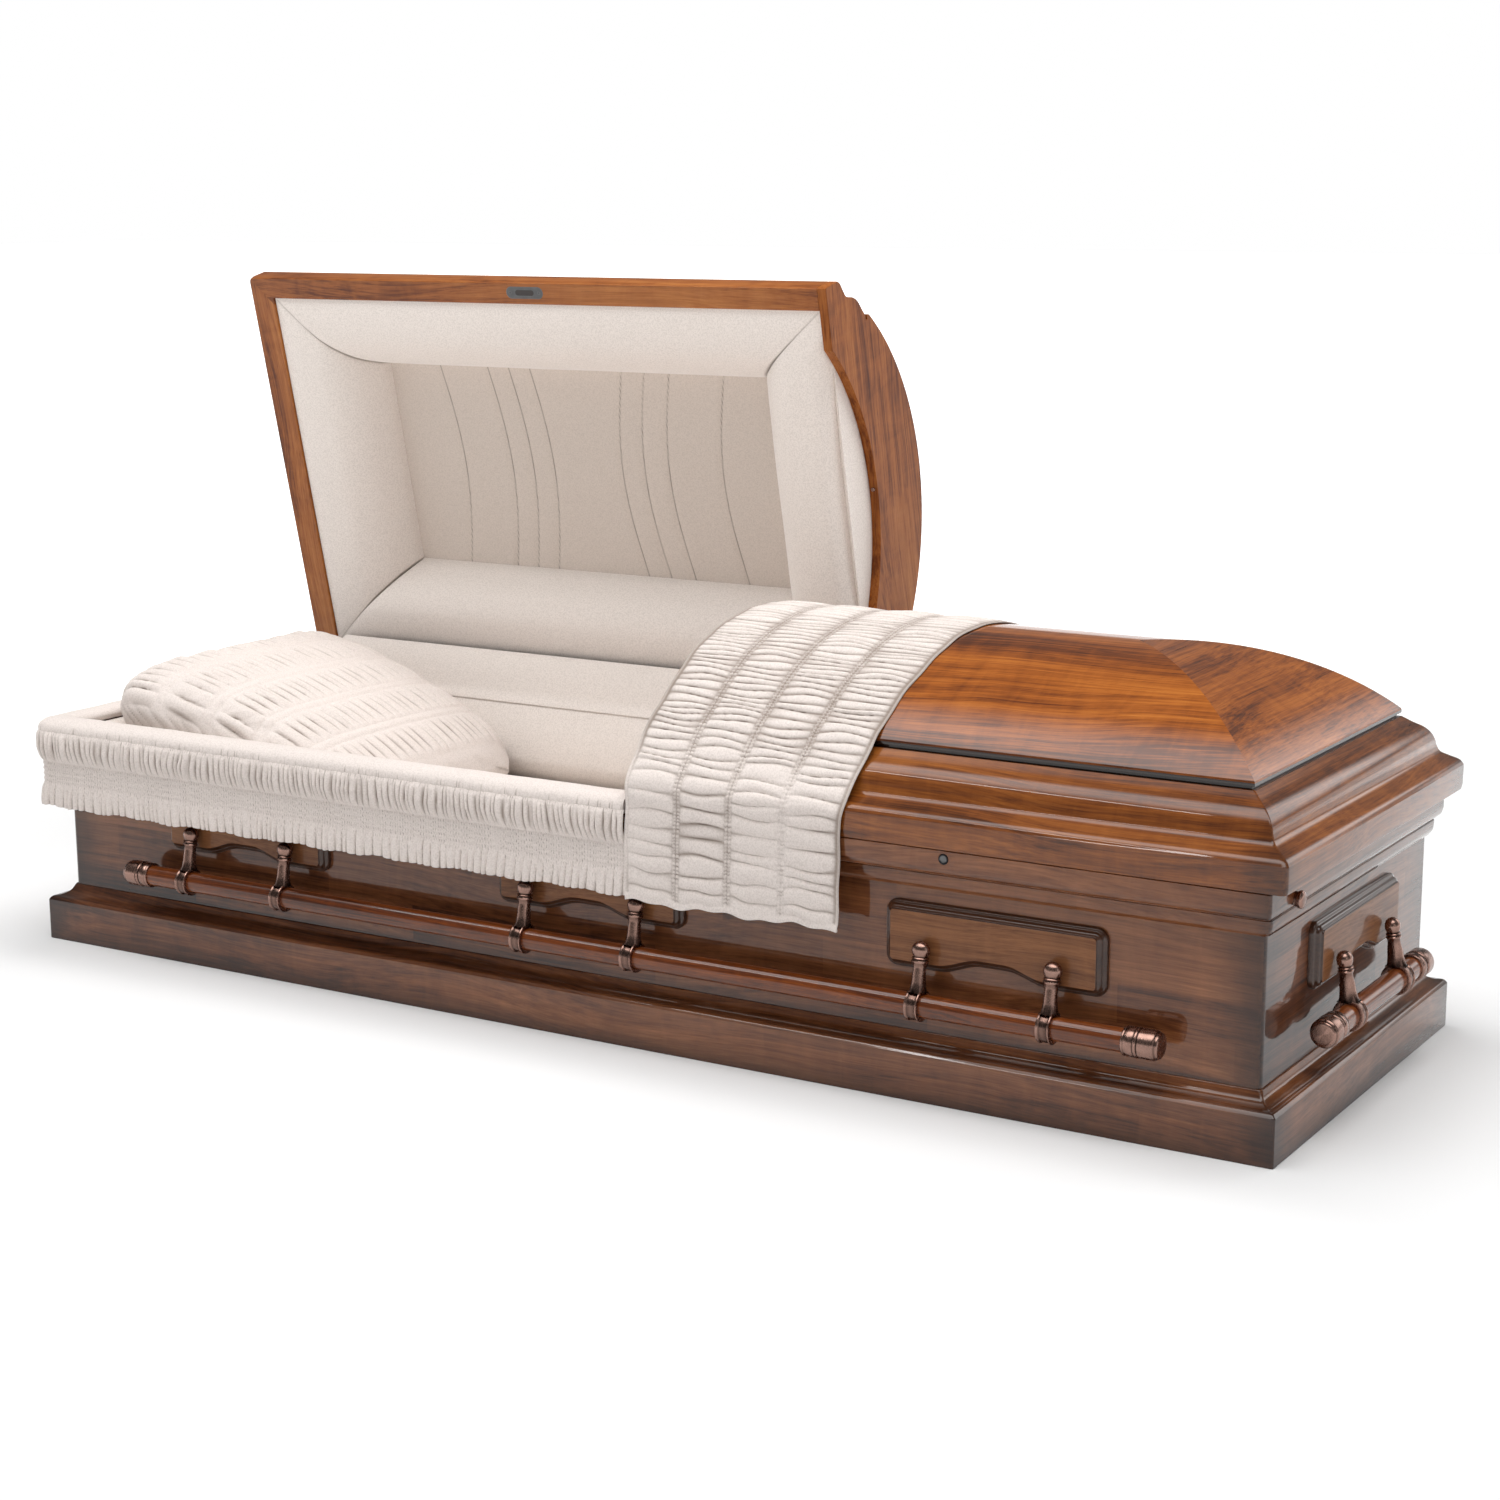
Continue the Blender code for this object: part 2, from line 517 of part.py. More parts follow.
def pillow():
    rows = []
    for end, side, up, over in PILLOW:
        x, w = end - IN_X, IN_Y - side
        low, high = bed_top(x) + up, BODY_TOP + over
        half = [(w * a, low + (high - low) * b) for a, b in SECTION]
        rows.append([(x, y, z) for y, z in half] + [(x, -y, z) for y, z in half[-2:0:-1]])
    k, m = len(rows), len(rows[0])
    return solid("pillow", flat(rows), bands(k, m) + caps(k, m), CREPE)


pillow()

# Cover between the box's lining and the head lid's back roll
prism("hinge_cover", moved([
    (-0.0635, -0.0020), (-0.0595, 0.0124), (-0.0510, 0.0284), (-0.0390, 0.0444), (-0.0270, 0.0544),
    (-0.0170, 0.0584), (-0.0158, 0.0544), (-0.0240, 0.0504), (-0.0360, 0.0399), (-0.0475, 0.0244),
    (-0.0555, 0.0099), (-0.0590, -0.0001), (-0.0590, -0.0020)], LID_Y, LID_Z),
    "x", 0.024 - IN_X, SPLIT_HEAD - 0.0038, VELVET)

# Skirt and its padded roll: (out from the rail's face, above the rail's top)
SKIRT = [(0.0065, -0.0080), (0.0115, -0.0160), (0.0130, -0.0290), (0.0105, -0.0430), (0.0052, -0.0520),
         (0.0048, -0.0830), (0.0085, -0.0990), (0.0105, -0.1230), (0.0075, -0.1230), (0.0055, -0.1000),
         (0.0022, -0.0840), (0.0022, -0.0515), (0.0060, -0.0420), (0.0085, -0.0290), (0.0060, -0.0180),
         (0.0012, -0.0130), (0.0012, -0.0080)]
ROLL_OVER = [(0.0085, -0.0074), (0.0102, 0.0010), (0.0075, 0.0090), (-0.0015, 0.0162), (-0.0140, 0.0190),
             (-0.0280, 0.0180), (-0.0385, 0.0140), (-0.0425, 0.0075), (-0.0400, 0.0005), (0.0008, 0.0005),
             (0.0008, -0.0074)]


def draped(name, profile, mat):
    """Follows the front rail and the head end, with a rounded corner between."""
    rows = []
    for d, z in profile:
        r = max(0.001, 0.006 + d + min(0.012, max(0.0, 2.0 * (d - 0.0012))))
        x1, y1 = -(RAIL_E + d), -(RAIL_F + d)
        row = [(SPLIT_HEAD - 0.0013, y1, BODY_TOP + z)]
        for q in range(5):
            a = radians(-90 - 22.5 * q)
            row.append((x1 + r + r * cos(a), y1 + r + r * sin(a), BODY_TOP + z))
        rows.append(row + [(x1, SKIRT_BACK, BODY_TOP + z)])
    k, m = len(rows), len(rows[0])
    return solid(name, flat(rows), bands(k, m, around=False, closed=True) + cheeks(k, m), mat)


draped("skirt", SKIRT, CREPE)
draped("skirt_roll", ROLL_OVER, CREPE)


def throw():
    """Cloth over the foot lid, from its hem at the front to just past the crown at the back."""
    lift = 0.0008
    path = [(-LID_Y - 0.0055, BODY_TOP - 0.1280, 0.0340), (-LID_Y - 0.0050, BODY_TOP - 0.0510, 0.0320),
            (-LID_Y - 0.0045, LID_Z + 0.0084, 0.0290), (-LID_Y - 0.0042, LID_Z + 0.0379, 0.0270),
            (-LID_Y + 0.0340, LID_Z + 0.0829, 0.0220), (-CROWN_EDGE - 0.0030, LID_Z + 0.1234, 0.0164)]
    for t in CROWN_TS[1:]:
        path.append((-t, crown_z(t) + lift, 0.0164 * (t / CROWN_EDGE) ** 2))
    path += [(t, crown_z(t) + lift, 0.0) for t in CROWN_TS[-2:0:-1]]
    path += [(CROWN_EDGE + 0.0030, LID_Z + 0.1234, 0.0), (LID_Y - 0.0520, LID_Z + 0.1036, 0.0)]
    rows = []
    for i, (y, z, pull) in enumerate(path):
        a, b = path[max(0, i - 1)], path[min(len(path) - 1, i + 1)]
        n = Vector((a[1] - b[1], b[0] - a[0])).normalized() * THROW_T
        x1 = THROW_X1 - pull
        rows.append([(THROW_X0, y, z), (x1, y, z), (x1, y + n.x, z + n.y), (THROW_X0, y + n.x, z + n.y)])
    return solid("throw", flat(rows), bands(len(rows), 4) + caps(len(rows), 4), CREPE, HINGE)


throw()


# Handles. Built for the front in (along, out, up), then turned to each side.
def turn_to(side):
    """Function that takes (along, out, up) to the casket's frame for a side."""
    if side == "front":
        return lambda p: (p[0], -(BODY_Y + p[1]), p[2])
    if side == "back":
        return lambda p: (p[0], BODY_Y + p[1], p[2])
    if side == "foot":
        return lambda p: (BODY_X + p[1], p[0], p[2])
    return lambda p: (-(BODY_X + p[1]), p[0], p[2])


def plate_outline(inset):
    """Ear plate outline with rounded corners and a risen middle in its lower edge."""
    w, z0, z1 = PLATE_HALF - inset, PLATE_Z0 + inset, PLATE_Z1 - inset
    r = max(0.004, 0.016 - inset)
    pts = []
    for sx, zc, start in ((1, z1 - r, 0), (-1, z1 - r, 90), (-1, z0 + r, 180)):
        for q in range(3):
            a = radians(start + 45 * q)
            pts.append((sx * (w - r) + r * cos(a), zc + r * sin(a)))
    for s in (-0.080, -0.050, -0.018, 0.018, 0.050, 0.080):
        f = min(1.0, (0.080 - abs(s)) / 0.062)
        pts.append((s, z0 + NOTCH * f * f * (3 - 2 * f)))
    for q in range(3):
        a = radians(270 + 45 * q)
        pts.append((w - r + r * cos(a), z0 + r + r * sin(a)))
    return pts


PLATE_STEPS = [(0.0, GAP), (0.0, 0.0070), (0.0055, 0.0105), (0.0085, PLATE_T - 0.0015), (0.0115, PLATE_T)]


def ear_plate(name, side, centre):
    put = turn_to(side)
    rows = [[put((centre + u, out, v)) for u, v in plate_outline(inset)] for inset, out in PLATE_STEPS]
    k, m = len(rows), len(rows[0])
    return solid(name, flat(rows), bands(k, m) + caps(k, m), PLATE_WOOD)


def round_bar(side, along, rows, closed=False):
    """Verts and faces turned round the bar's axis. rows are (distance along it, radius)."""
    put = turn_to(side)
    verts = []
    for s, r in rows:
        for i in range(SIDES):
            a = 2 * pi * (i + 0.5) / SIDES
            verts.append(put((along + s, BAR_OUT + r * cos(a), BAR_Z + r * sin(a))))
    faces = bands(len(rows), SIDES, closed=closed)
    return verts, faces if closed else faces + caps(len(rows), SIDES)


def arm(name, side, along, origin):
    """Round head, collar and neck above a ring that goes round the bar."""
    put = turn_to(side)
    head = Vector((0.0, PIVOT_OUT, PIVOT_Z))
    down = Vector((0.0, BAR_OUT, BAR_Z)) - head
    u = down.normalized()
    w = Vector((1, 0, 0))
    v = u.cross(w)
    rows = [(-DOME_R, 0.28, 1), (-0.62 * DOME_R, 0.78, 1), (0.15 * DOME_R, 1.0, 1), (0.80 * DOME_R, 0.80, 1),
            (0.95 * DOME_R, 0.93, 1), (1.45 * DOME_R, 0.90, 1), (1.60 * DOME_R, 0.74, 1),
            ((down.length - BORE - 0.0015) / ARM_LONG, 0.70, 1.5)]
    n = 8
    verts = []
    for s, r, wide in rows:
        for i in range(n):
            a = 2 * pi * (i + 0.5) / n
            q = head + u * (s * ARM_LONG) + (w * (ARM_WIDE * cos(a)) + v * (wide * sin(a))) * (r * DOME_R)
            verts.append(put((along + q.x, q.y, q.z)))
    o = solid(name, verts, bands(len(rows), n) + caps(len(rows), n), COPPER, origin)
    hoop = [(-RING_W / 2, BORE), (-RING_W / 2, RING_R), (RING_W / 2, RING_R), (RING_W / 2, BORE)]
    verts, faces = round_bar(side, along, hoop, closed=True)
    return joined(o, solid("ring", verts, faces, COPPER, origin), "UNION")


def bar(name, side, centre, half, origin):
    """Wooden bar with the metal tips that are pressed onto its ends, as one solid."""
    e = half - TIP_L
    tip = [(e, BAR_R), (e + 0.0005, TIP_R), (half - 0.0070, TIP_R), (half - 0.0050, TIP_R - 0.0024),
           (half - 0.0015, TIP_R - 0.0036), (half, TIP_R * 0.60)]
    rows = [(-s, r) for s, r in tip[::-1]] + tip
    verts, faces = round_bar(side, centre, rows)
    return solid(name, verts, faces, BAR_WOOD, origin)


for side in ("front", "back"):
    pivot = turn_to(side)((0.0, PIVOT_OUT, PIVOT_Z))
    for i in range(3):
        centre = PLATE_MID + PLATE_STEP * (i - 1)
        ear_plate("%s_plate_%d" % (side, i + 1), side, centre)
        arm("%s_arm_%d" % (side, 2 * i + 1), side, centre - ARM_HALF, pivot)
        arm("%s_arm_%d" % (side, 2 * i + 2), side, centre + ARM_HALF, pivot)
    bar(side + "_bar", side, PLATE_MID + BAR_SHIFT, PLATE_STEP + BAR_PAST, pivot)
for side in ("foot", "head"):
    pivot = turn_to(side)((0.0, PIVOT_OUT, PIVOT_Z))
    ear_plate(side + "_plate", side, 0.0)
    arm(side + "_arm_1", side, END_BAR_MID - ARM_HALF, pivot)
    arm(side + "_arm_2", side, END_BAR_MID + ARM_HALF, pivot)
    bar(side + "_bar", side, END_BAR_MID, END_BAR_HALF, pivot)
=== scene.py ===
from math import sin, cos, pi, sqrt, radians

import bpy
import bmesh
import numpy as np
from mathutils import Matrix, Vector


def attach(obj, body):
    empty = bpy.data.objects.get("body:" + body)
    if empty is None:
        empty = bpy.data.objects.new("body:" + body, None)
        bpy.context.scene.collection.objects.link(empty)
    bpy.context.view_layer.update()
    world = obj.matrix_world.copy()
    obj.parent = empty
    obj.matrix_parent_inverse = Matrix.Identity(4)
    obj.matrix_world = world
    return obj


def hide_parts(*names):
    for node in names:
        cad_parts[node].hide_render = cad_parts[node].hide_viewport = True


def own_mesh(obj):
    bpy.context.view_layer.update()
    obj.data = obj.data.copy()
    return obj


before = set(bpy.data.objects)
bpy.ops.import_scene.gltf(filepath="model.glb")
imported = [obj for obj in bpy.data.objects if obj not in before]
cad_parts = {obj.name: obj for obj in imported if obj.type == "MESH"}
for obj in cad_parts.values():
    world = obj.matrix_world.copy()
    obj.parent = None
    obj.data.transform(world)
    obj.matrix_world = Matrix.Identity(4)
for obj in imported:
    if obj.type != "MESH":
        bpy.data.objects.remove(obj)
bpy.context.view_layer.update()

# Sizes repeated from the part's source, in metres
BASE_TOP = 0.089
BODY_X, BODY_Y = 1.018, 0.3145
BODY_IN = 0.032
BODY_TOP = 0.351
BODY_R = 0.009
WALL = 0.019
IN_X, IN_Y = BODY_X - WALL, BODY_Y - WALL
GAP = 0.0003
RAIL_END, RAIL_BACK = 0.0194, 0.0175
LID_X, LID_Y, LID_Z = 1.0555, 0.352, 0.3516
HIP = LID_X - LID_Y
RAIL_F, RAIL_E = LID_Y, BODY_X + RAIL_END
CROWN_EDGE = LID_Y - 0.0718
CROWN_RISE = 0.1142
CROWN_R = (CROWN_EDGE ** 2 + CROWN_RISE ** 2) / (2 * CROWN_RISE)
CROWN_TOP = LID_Z + 0.1222 + CROWN_RISE
CROWN_T = 0.012
SPLIT_HEAD, SPLIT_FOOT, HEADER = 0.0918, 0.094, 0.0155
HEAD_IN, FOOT_IN = SPLIT_HEAD - HEADER, SPLIT_FOOT + HEADER
ARCH_T, ARCH_RISE = LID_Y - 0.096, 0.0931
ARCH_R = (ARCH_T ** 2 + ARCH_RISE ** 2) / (2 * ARCH_RISE)
ARCH_TOP = LID_Z + ARCH_RISE
HINGE_Y, HINGE_Z = LID_Y + 0.006, BODY_TOP + GAP
OPEN = radians(77.5)
BED_X, BED_Y, BED_Z, BED_LIFT, BED_BEND = IN_X - 0.0555, IN_Y - 0.0555, 0.205, 0.085, 0.45
FLOOR = 0.0185
SKIRT_BACK = 0.3
THROW_X0, THROW_X1 = 0.0965, 0.469
PLATE_MID, PLATE_STEP, PLATE_HALF, PLATE_T = 0.006, 0.643, 0.1604, 0.017
PLATE_Z0, PLATE_Z1, NOTCH = 0.177, 0.2685, 0.015
DOME_R, PIVOT_OUT, PIVOT_Z = 0.0106, 0.03, 0.211
ARM_WIDE, ARM_LONG = 1.22, 1.1
BAR_OUT, BAR_Z, BAR_R, TIP_L = 0.0405, 0.138, 0.016, 0.05
ARM_HALF = 0.0955
BAR_SHIFT, BAR_PAST = 0.017, 0.236
END_BAR_MID, END_BAR_HALF = -0.008, 0.2
LATCH_X, LATCH_Y = -0.4725, 0.016 - LID_Y
LATCH_SCREW = 0.0285

HEAD_OPEN = (Matrix.Translation((0, HINGE_Y, HINGE_Z)) @ Matrix.Rotation(-OPEN, 4, "X")
    @ Matrix.Translation((0, -HINGE_Y, -HINGE_Z)))


def rgb(r, g, b):
    """Linear colour from the usual 0 to 255 values."""
    return tuple((c / 255 / 12.92) if c < 10.3 else ((c / 255 + 0.055) / 1.055) ** 2.4
        for c in (r, g, b)) + (1.0,)


def given(thing, **settings):
    for key, value in settings.items():
        setattr(thing, key, value)
    return thing


def table(text, unit=0.001):
    """Rows of numbers from a text, in metres where the text is in millimetres."""
    return [tuple(round(float(v) * unit, 7) for v in row.split()) for row in text.split(",")]


class Nodes:
    """A node tree in the making, with short names for the nodes that are used most."""

    def __init__(self, tree):
        self.tree = tree

    def add(self, kind, **settings):
        return given(self.tree.nodes.new(kind), **settings)

    def put(self, socket, value):
        if isinstance(value, bpy.types.NodeSocket):
            self.tree.links.new(value, socket)
        elif value is not None:
            socket.default_value = value

    def math(self, how, a, b=None, c=None):
        node = self.add("ShaderNodeMath", operation=how)
        for socket, value in zip(node.inputs, (a, b, c)):
            self.put(socket, value)
        return node.outputs[0]

    def mul(self, a, b):
        return self.math("MULTIPLY", a, b)

    def plus(self, a, b):
        return self.math("ADD", a, b)

    def minus(self, a, b):
        return self.math("SUBTRACT", a, b)

    def split(self, vector):
        node = self.add("ShaderNodeSeparateXYZ")
        self.put(node.inputs[0], vector)
        return tuple(node.outputs)

    def join(self, x, y, z):
        node = self.add("ShaderNodeCombineXYZ")
        for socket, value in zip(node.inputs, (x, y, z)):
            self.put(socket, value)
        return node.outputs[0]

    def times(self, vector, scale):
        node = self.add("ShaderNodeVectorMath", operation="MULTIPLY")
        self.put(node.inputs[0], vector)
        node.inputs[1].default_value = scale
        return node.outputs[0]

    def noise(self, vector, scale, detail=4.0, rough=0.5, bend=0.0):
        """Noise texture; a scale of three numbers stretches it."""
        if isinstance(scale, tuple):
            vector, scale = self.times(vector, scale), 1.0
        node = self.add("ShaderNodeTexNoise")
        self.put(node.inputs["Vector"], vector)
        for key, value in (("Scale", scale), ("Detail", detail), ("Roughness", rough), ("Distortion", bend)):
            node.inputs[key].default_value = value
        return node.outputs["Fac"]

    def ramp(self, value, stops):
        node = self.add("ShaderNodeValToRGB")
        self.put(node.inputs[0], value)
        while len(node.color_ramp.elements) < len(stops):
            node.color_ramp.elements.new(0.5)
        for element, (at, colour) in zip(node.color_ramp.elements, stops):
            element.position = at
            element.color = colour
        return node.outputs[0]

    def mix(self, share, a, b, how="MIX"):
        node = self.add("ShaderNodeMix", data_type="RGBA", blend_type=how)
        self.put(node.inputs[0], share)
        self.put(node.inputs[6], a)
        self.put(node.inputs[7], b)
        return node.outputs[2]

    def step(self, value, a, b, low=0.0, high=1.0):
        node = self.add("ShaderNodeMapRange", interpolation_type="SMOOTHSTEP")
        self.put(node.inputs[0], value)
        for socket, number in zip(list(node.inputs)[1:5], (a, b, low, high)):
            socket.default_value = number
        return node.outputs[0]

    def bump(self, height, strength, distance):
        node = self.add("ShaderNodeBump")
        node.inputs["Strength"].default_value = strength
        node.inputs["Distance"].default_value = distance
        self.put(node.inputs["Height"], height)
        self.put(self.shader.inputs["Normal"], node.outputs[0])

    def set(self, **values):
        for key, value in values.items():
            self.put(self.shader.inputs[key.replace("_", " ")], value)


def new_finish(name):
    """Nodes of a new material, with its shader and its object coordinates."""
    material = bpy.data.materials.new(name)
    material.use_nodes = True
    n = Nodes(material.node_tree)
    n.material = material
    n.shader = n.tree.nodes["Principled BSDF"]
    n.place = n.add("ShaderNodeTexCoord").outputs["Object"]
    return n


def tones(at, *colours):
    """Ramp stops from dark to light wood."""
    return [(a, rgb(*c)) for a, c in zip(at, colours)]


EVEN = (0.3, 0.43, 0.54, 0.68, 0.84)
AMBER = tones((0.3, 0.43, 0.54, 0.66, 0.82), (40, 18, 6), (92, 44, 13), (140, 74, 22), (168, 96, 34),
    (192, 120, 50))
BROWN = tones(EVEN, (34, 17, 9), (72, 39, 22), (106, 62, 36), (132, 82, 50), (156, 104, 66))
OLIVE = tones(EVEN, (34, 16, 6), (80, 40, 14), (118, 64, 24), (146, 86, 36), (168, 106, 50))
ORANGE = tones(EVEN, (46, 19, 7), (98, 48, 17), (142, 80, 34), (168, 104, 50), (188, 124, 66))
PLATE_TONES = tones((0.3, 0.44, 0.58, 0.8), (70, 42, 26), (104, 66, 42), (128, 84, 54), (146, 100, 66))
BAR_TONES = tones((0.3, 0.43, 0.56, 0.7, 0.84), (34, 15, 7), (74, 34, 14), (110, 54, 20), (140, 74, 28),
    (166, 96, 40))
BORDER_TONES = tones((0.3, 0.75), (40, 22, 14), (78, 48, 32))
# Near-black tones that paint shade into the crown's notch under its lip and into the latch slot
NOTCH_SHADE_TONES = tones((0.2, 0.8), (16, 9, 6), (40, 24, 16))
BROAD, FINE, THIN, FIGURE, DARKER = 0.62, 0.44, 0.34, 0.16, 0.25


def wood(name, stops, seed, grain="sides", corner=None, dark=(), boards=0.0, streak=11.0, coat=1.0,
        shade=0.75, opened=False):
    """Lacquered wood. Its grain runs along the sides and turns at the mitres of the ends.

    corner is |y| at the piece's corners, near which painted shade darkens it, and dark lists (axis, from, to)
    over which painted shade darkens it."""
    n = new_finish(name)
    if opened:
        back = n.add("ShaderNodeVectorRotate", rotation_type="X_AXIS")
        n.put(back.inputs["Vector"], n.place)
        back.inputs["Center"].default_value = (0.0, HINGE_Y, HINGE_Z)
        back.inputs["Angle"].default_value = OPEN
        n.place = back.outputs[0]
    x, y, z = n.split(n.place)
    ax, ay = n.math("ABSOLUTE", x), n.math("ABSOLUTE", y)
    over = n.minus(ax, HIP)
    if grain == "sides":
        end = n.math("GREATER_THAN", over, ay)
        side = n.minus(1.0, end)
        along = n.plus(n.mul(end, y), n.mul(side, x))
        across = n.plus(n.mul(end, x), n.mul(side, y))
        across = n.plus(across, n.mul(end, 7.3))
    else:
        along, across = {"x": (x, y), "y": (y, x)}[grain]
    grain_at = n.join(n.plus(along, seed), across, z)
    wave = n.noise(grain_at, (1.3, 2.5, 2.5), 2.0, 0.5)
    bent = n.add("ShaderNodeVectorMath", operation="ADD")
    n.put(bent.inputs[0], grain_at)
    sway = n.mul(wave, 0.1)
    n.put(bent.inputs[1], n.join(0.0, sway, sway))
    bent = bent.outputs[0]
    broad = n.noise(bent, (0.9, streak, streak), 6.0, 0.62, 0.3)
    fine = n.noise(bent, (3.0, streak * 10, streak * 10), 5.0, 0.65, 0.2)
    figure = n.noise(grain_at, (26.0, 9.0, 9.0), 3.0, 0.6, 1.0)
    thin = n.noise(bent, (11.0, streak * 34, streak * 34), 3.0, 0.6)
    value = n.plus(n.mul(broad, BROAD), n.mul(fine, FINE))
    value = n.plus(n.plus(value, n.mul(figure, FIGURE)), n.mul(thin, THIN))
    value = n.minus(value, DARKER)
    if boards:
        row = n.math("FLOOR", n.mul(n.plus(z, 0.012), 19.0))
        shift = n.mul(row, 0.37)
        col = n.math("FLOOR", n.plus(n.mul(along, 2.3), shift))
        cell = n.add("ShaderNodeTexWhiteNoise", noise_dimensions="2D")
        n.put(cell.inputs["Vector"], n.join(row, col, 0.0))
        value = n.plus(value, n.mul(n.minus(cell.outputs["Value"], 0.5), boards))
    colour = n.ramp(value, stops)
    pores = n.noise(grain_at, (45.0, 900.0, 900.0), 2.0, 0.6)
    speck = n.step(pores, 0.6, 0.74)
    colour = n.mix(n.mul(speck, 0.35), colour, rgb(38, 18, 8))
    # Painted shade: the wood is mixed towards a dark brown near the piece's corners and over the dark bands
    shadow = 0.0
    if corner:
        near = n.math("MINIMUM", over, ay)
        shadow = n.step(near, corner - 0.085, corner + 0.004, 0.0, shade)
    for axis, a, b in dark:
        shadow = n.math("MAXIMUM", shadow, n.step({"x": ax, "y": ay, "z": z}[axis], a, b, 0.0, shade))
    colour = n.mix(shadow, colour, rgb(28, 13, 8))
    n.set(Base_Color=colour, Roughness=n.step(fine, 0.3, 0.7, 0.38, 0.3), Coat_Weight=coat,
        Coat_Roughness=0.035, Coat_IOR=1.5, Specular_IOR_Level=0.08)
    n.bump(n.plus(n.mul(speck, -0.6), fine), 0.06, 0.0004)
    return n.material


def cloth(name, light, deep, crinkle, fuzz):
    """Matt woven cloth with a fine crinkle, painted in shade in the crinkle's hollows and in creases, where
    the mesh's fold attribute falls to 0.
    """
    n = new_finish(name)
    fine = n.noise(n.place, 420.0, 5.0, 0.65)
    weave = n.noise(n.place, 1900.0, 2.0, 0.5)
    fold = n.add("ShaderNodeAttribute", attribute_name="fold").outputs["Fac"]
    # Painted shade: darker in the crinkle's hollows, and the deep colour in the creases
    colour = n.mix(n.step(fine, 0.36, 0.6), n.mix(0.22, light, deep), light)
    colour = n.mix(n.step(fold, 0.0, 0.85), deep, colour)
    n.set(Base_Color=colour, Roughness=0.86, Sheen_Weight=fuzz, Sheen_Roughness=0.45, Specular_IOR_Level=0.15)
    n.bump(n.plus(fine, n.mul(weave, 0.5)), crinkle, 0.0009)
    return n.material


def metal(name, bright, deep, rough):
    """Brushed, darkened metal: bright where it is rubbed and nearly black in its hollows."""
    n = new_finish(name)
    worn = n.noise(n.place, 60.0, 4.0, 0.6)
    brush = n.noise(n.place, (900.0, 300.0, 300.0), 3.0, 0.6)
    edge = n.add("ShaderNodeNewGeometry").outputs["Pointiness"]
    share = n.mul(n.step(edge, 0.44, 0.55), n.step(worn, 0.3, 0.62, 0.775, 1.0))
    colour = n.mix(share, deep, bright)
    n.set(Base_Color=colour, Metallic=1.0, Roughness=n.step(brush, 0.3, 0.7, rough - 0.05, rough + 0.08))
    n.bump(brush, 0.05, 0.0003)
    return n.material


# Cloth colours: the light one, and the deep one that paints shade into creases and hollows
CREPE_LIGHT, CREPE_SHADE = rgb(222, 212, 206), rgb(138, 124, 114)
VELVET_LIGHT, VELVET_SHADE = rgb(240, 231, 224), rgb(140, 128, 116)

# Band of painted shade towards the crown's lower edge
CROWN_EDGE_SHADE = [("y", 0.262, 0.292)]
LOOKS = {
    "base": wood("base_wood", BROWN, 0.0, corner=0.3465, dark=[("z", 0.04, -0.012)], boards=0.05, shade=0.86),
    "body": wood("body_wood", BROWN, 5.2, corner=0.3145, dark=[("z", 0.29, 0.312), ("z", 0.104, 0.086)],
                 boards=0.16),
    "rail": wood("rail_wood", BROWN, 11.7, corner=0.352, streak=9.0, shade=0.8),
    "lid": wood("lid_wood", OLIVE, 17.1, corner=0.354, streak=12.0, shade=0.6),
    "head_lid": wood("head_lid_wood", ORANGE, 23.4, streak=13.0, coat=0.5, opened=True),
    "head_crown": wood("head_crown_wood", AMBER, 31.3, streak=15.0, dark=CROWN_EDGE_SHADE, shade=0.55, opened=True),
    "head_header": wood("head_header_wood", ORANGE, 39.4, grain="y", streak=10.0, coat=0.12, opened=True),
    "crown": wood("crown_wood", AMBER, 29.9, streak=15.0, dark=CROWN_EDGE_SHADE, shade=0.55),
    "header": wood("header_wood", ORANGE, 37.2, grain="y", streak=10.0),
    "lip": wood("notch_shade_wood", NOTCH_SHADE_TONES, 2.0),
    "plate": wood("plate_face_wood", PLATE_TONES, 41.0, streak=22.0, coat=0.35),
    "plate_end": wood("end_plate_face_wood", PLATE_TONES, 43.0, grain="y", streak=22.0, coat=0.35),
    "plate_edge": wood("plate_border_wood", BORDER_TONES, 47.0),
    "bar": wood("bar_side_wood", BAR_TONES, 53.0, grain="x", streak=30.0),
    "bar_end": wood("bar_end_wood", BAR_TONES, 57.0, grain="y", streak=30.0),
    "inside_wood": wood("unseen_wood", BROWN, 61.0, coat=0.0),
    "copper": metal("aged_copper_finish", rgb(156, 124, 112), rgb(40, 28, 24), 0.22),
    "steel": metal("dark_steel_finish", rgb(112, 112, 112), rgb(34, 34, 36), 0.34),
    "crepe": cloth("crepe_finish", CREPE_LIGHT, CREPE_SHADE, 0.26, 0.2),
    "velvet": cloth("velvet_finish", VELVET_LIGHT, VELVET_SHADE, 0.1, 0.4),
    # The recessed panel's velvet: a darker copy of the lining velvet, painted shade
    "panel": cloth("shaded_panel_finish", rgb(218, 206, 196), rgb(150, 138, 126), 0.1, 0.45),
}
SLOTS = {"plate": "plate_wood", "plate_end": "plate_wood", "plate_edge": "plate_wood", "bar": "bar_wood",
    "bar_end": "bar_wood", "copper": "aged_copper", "steel": "dark_steel", "crepe": "cream_crepe",
    "velvet": "cream_velvet", "panel": "cream_velvet"}


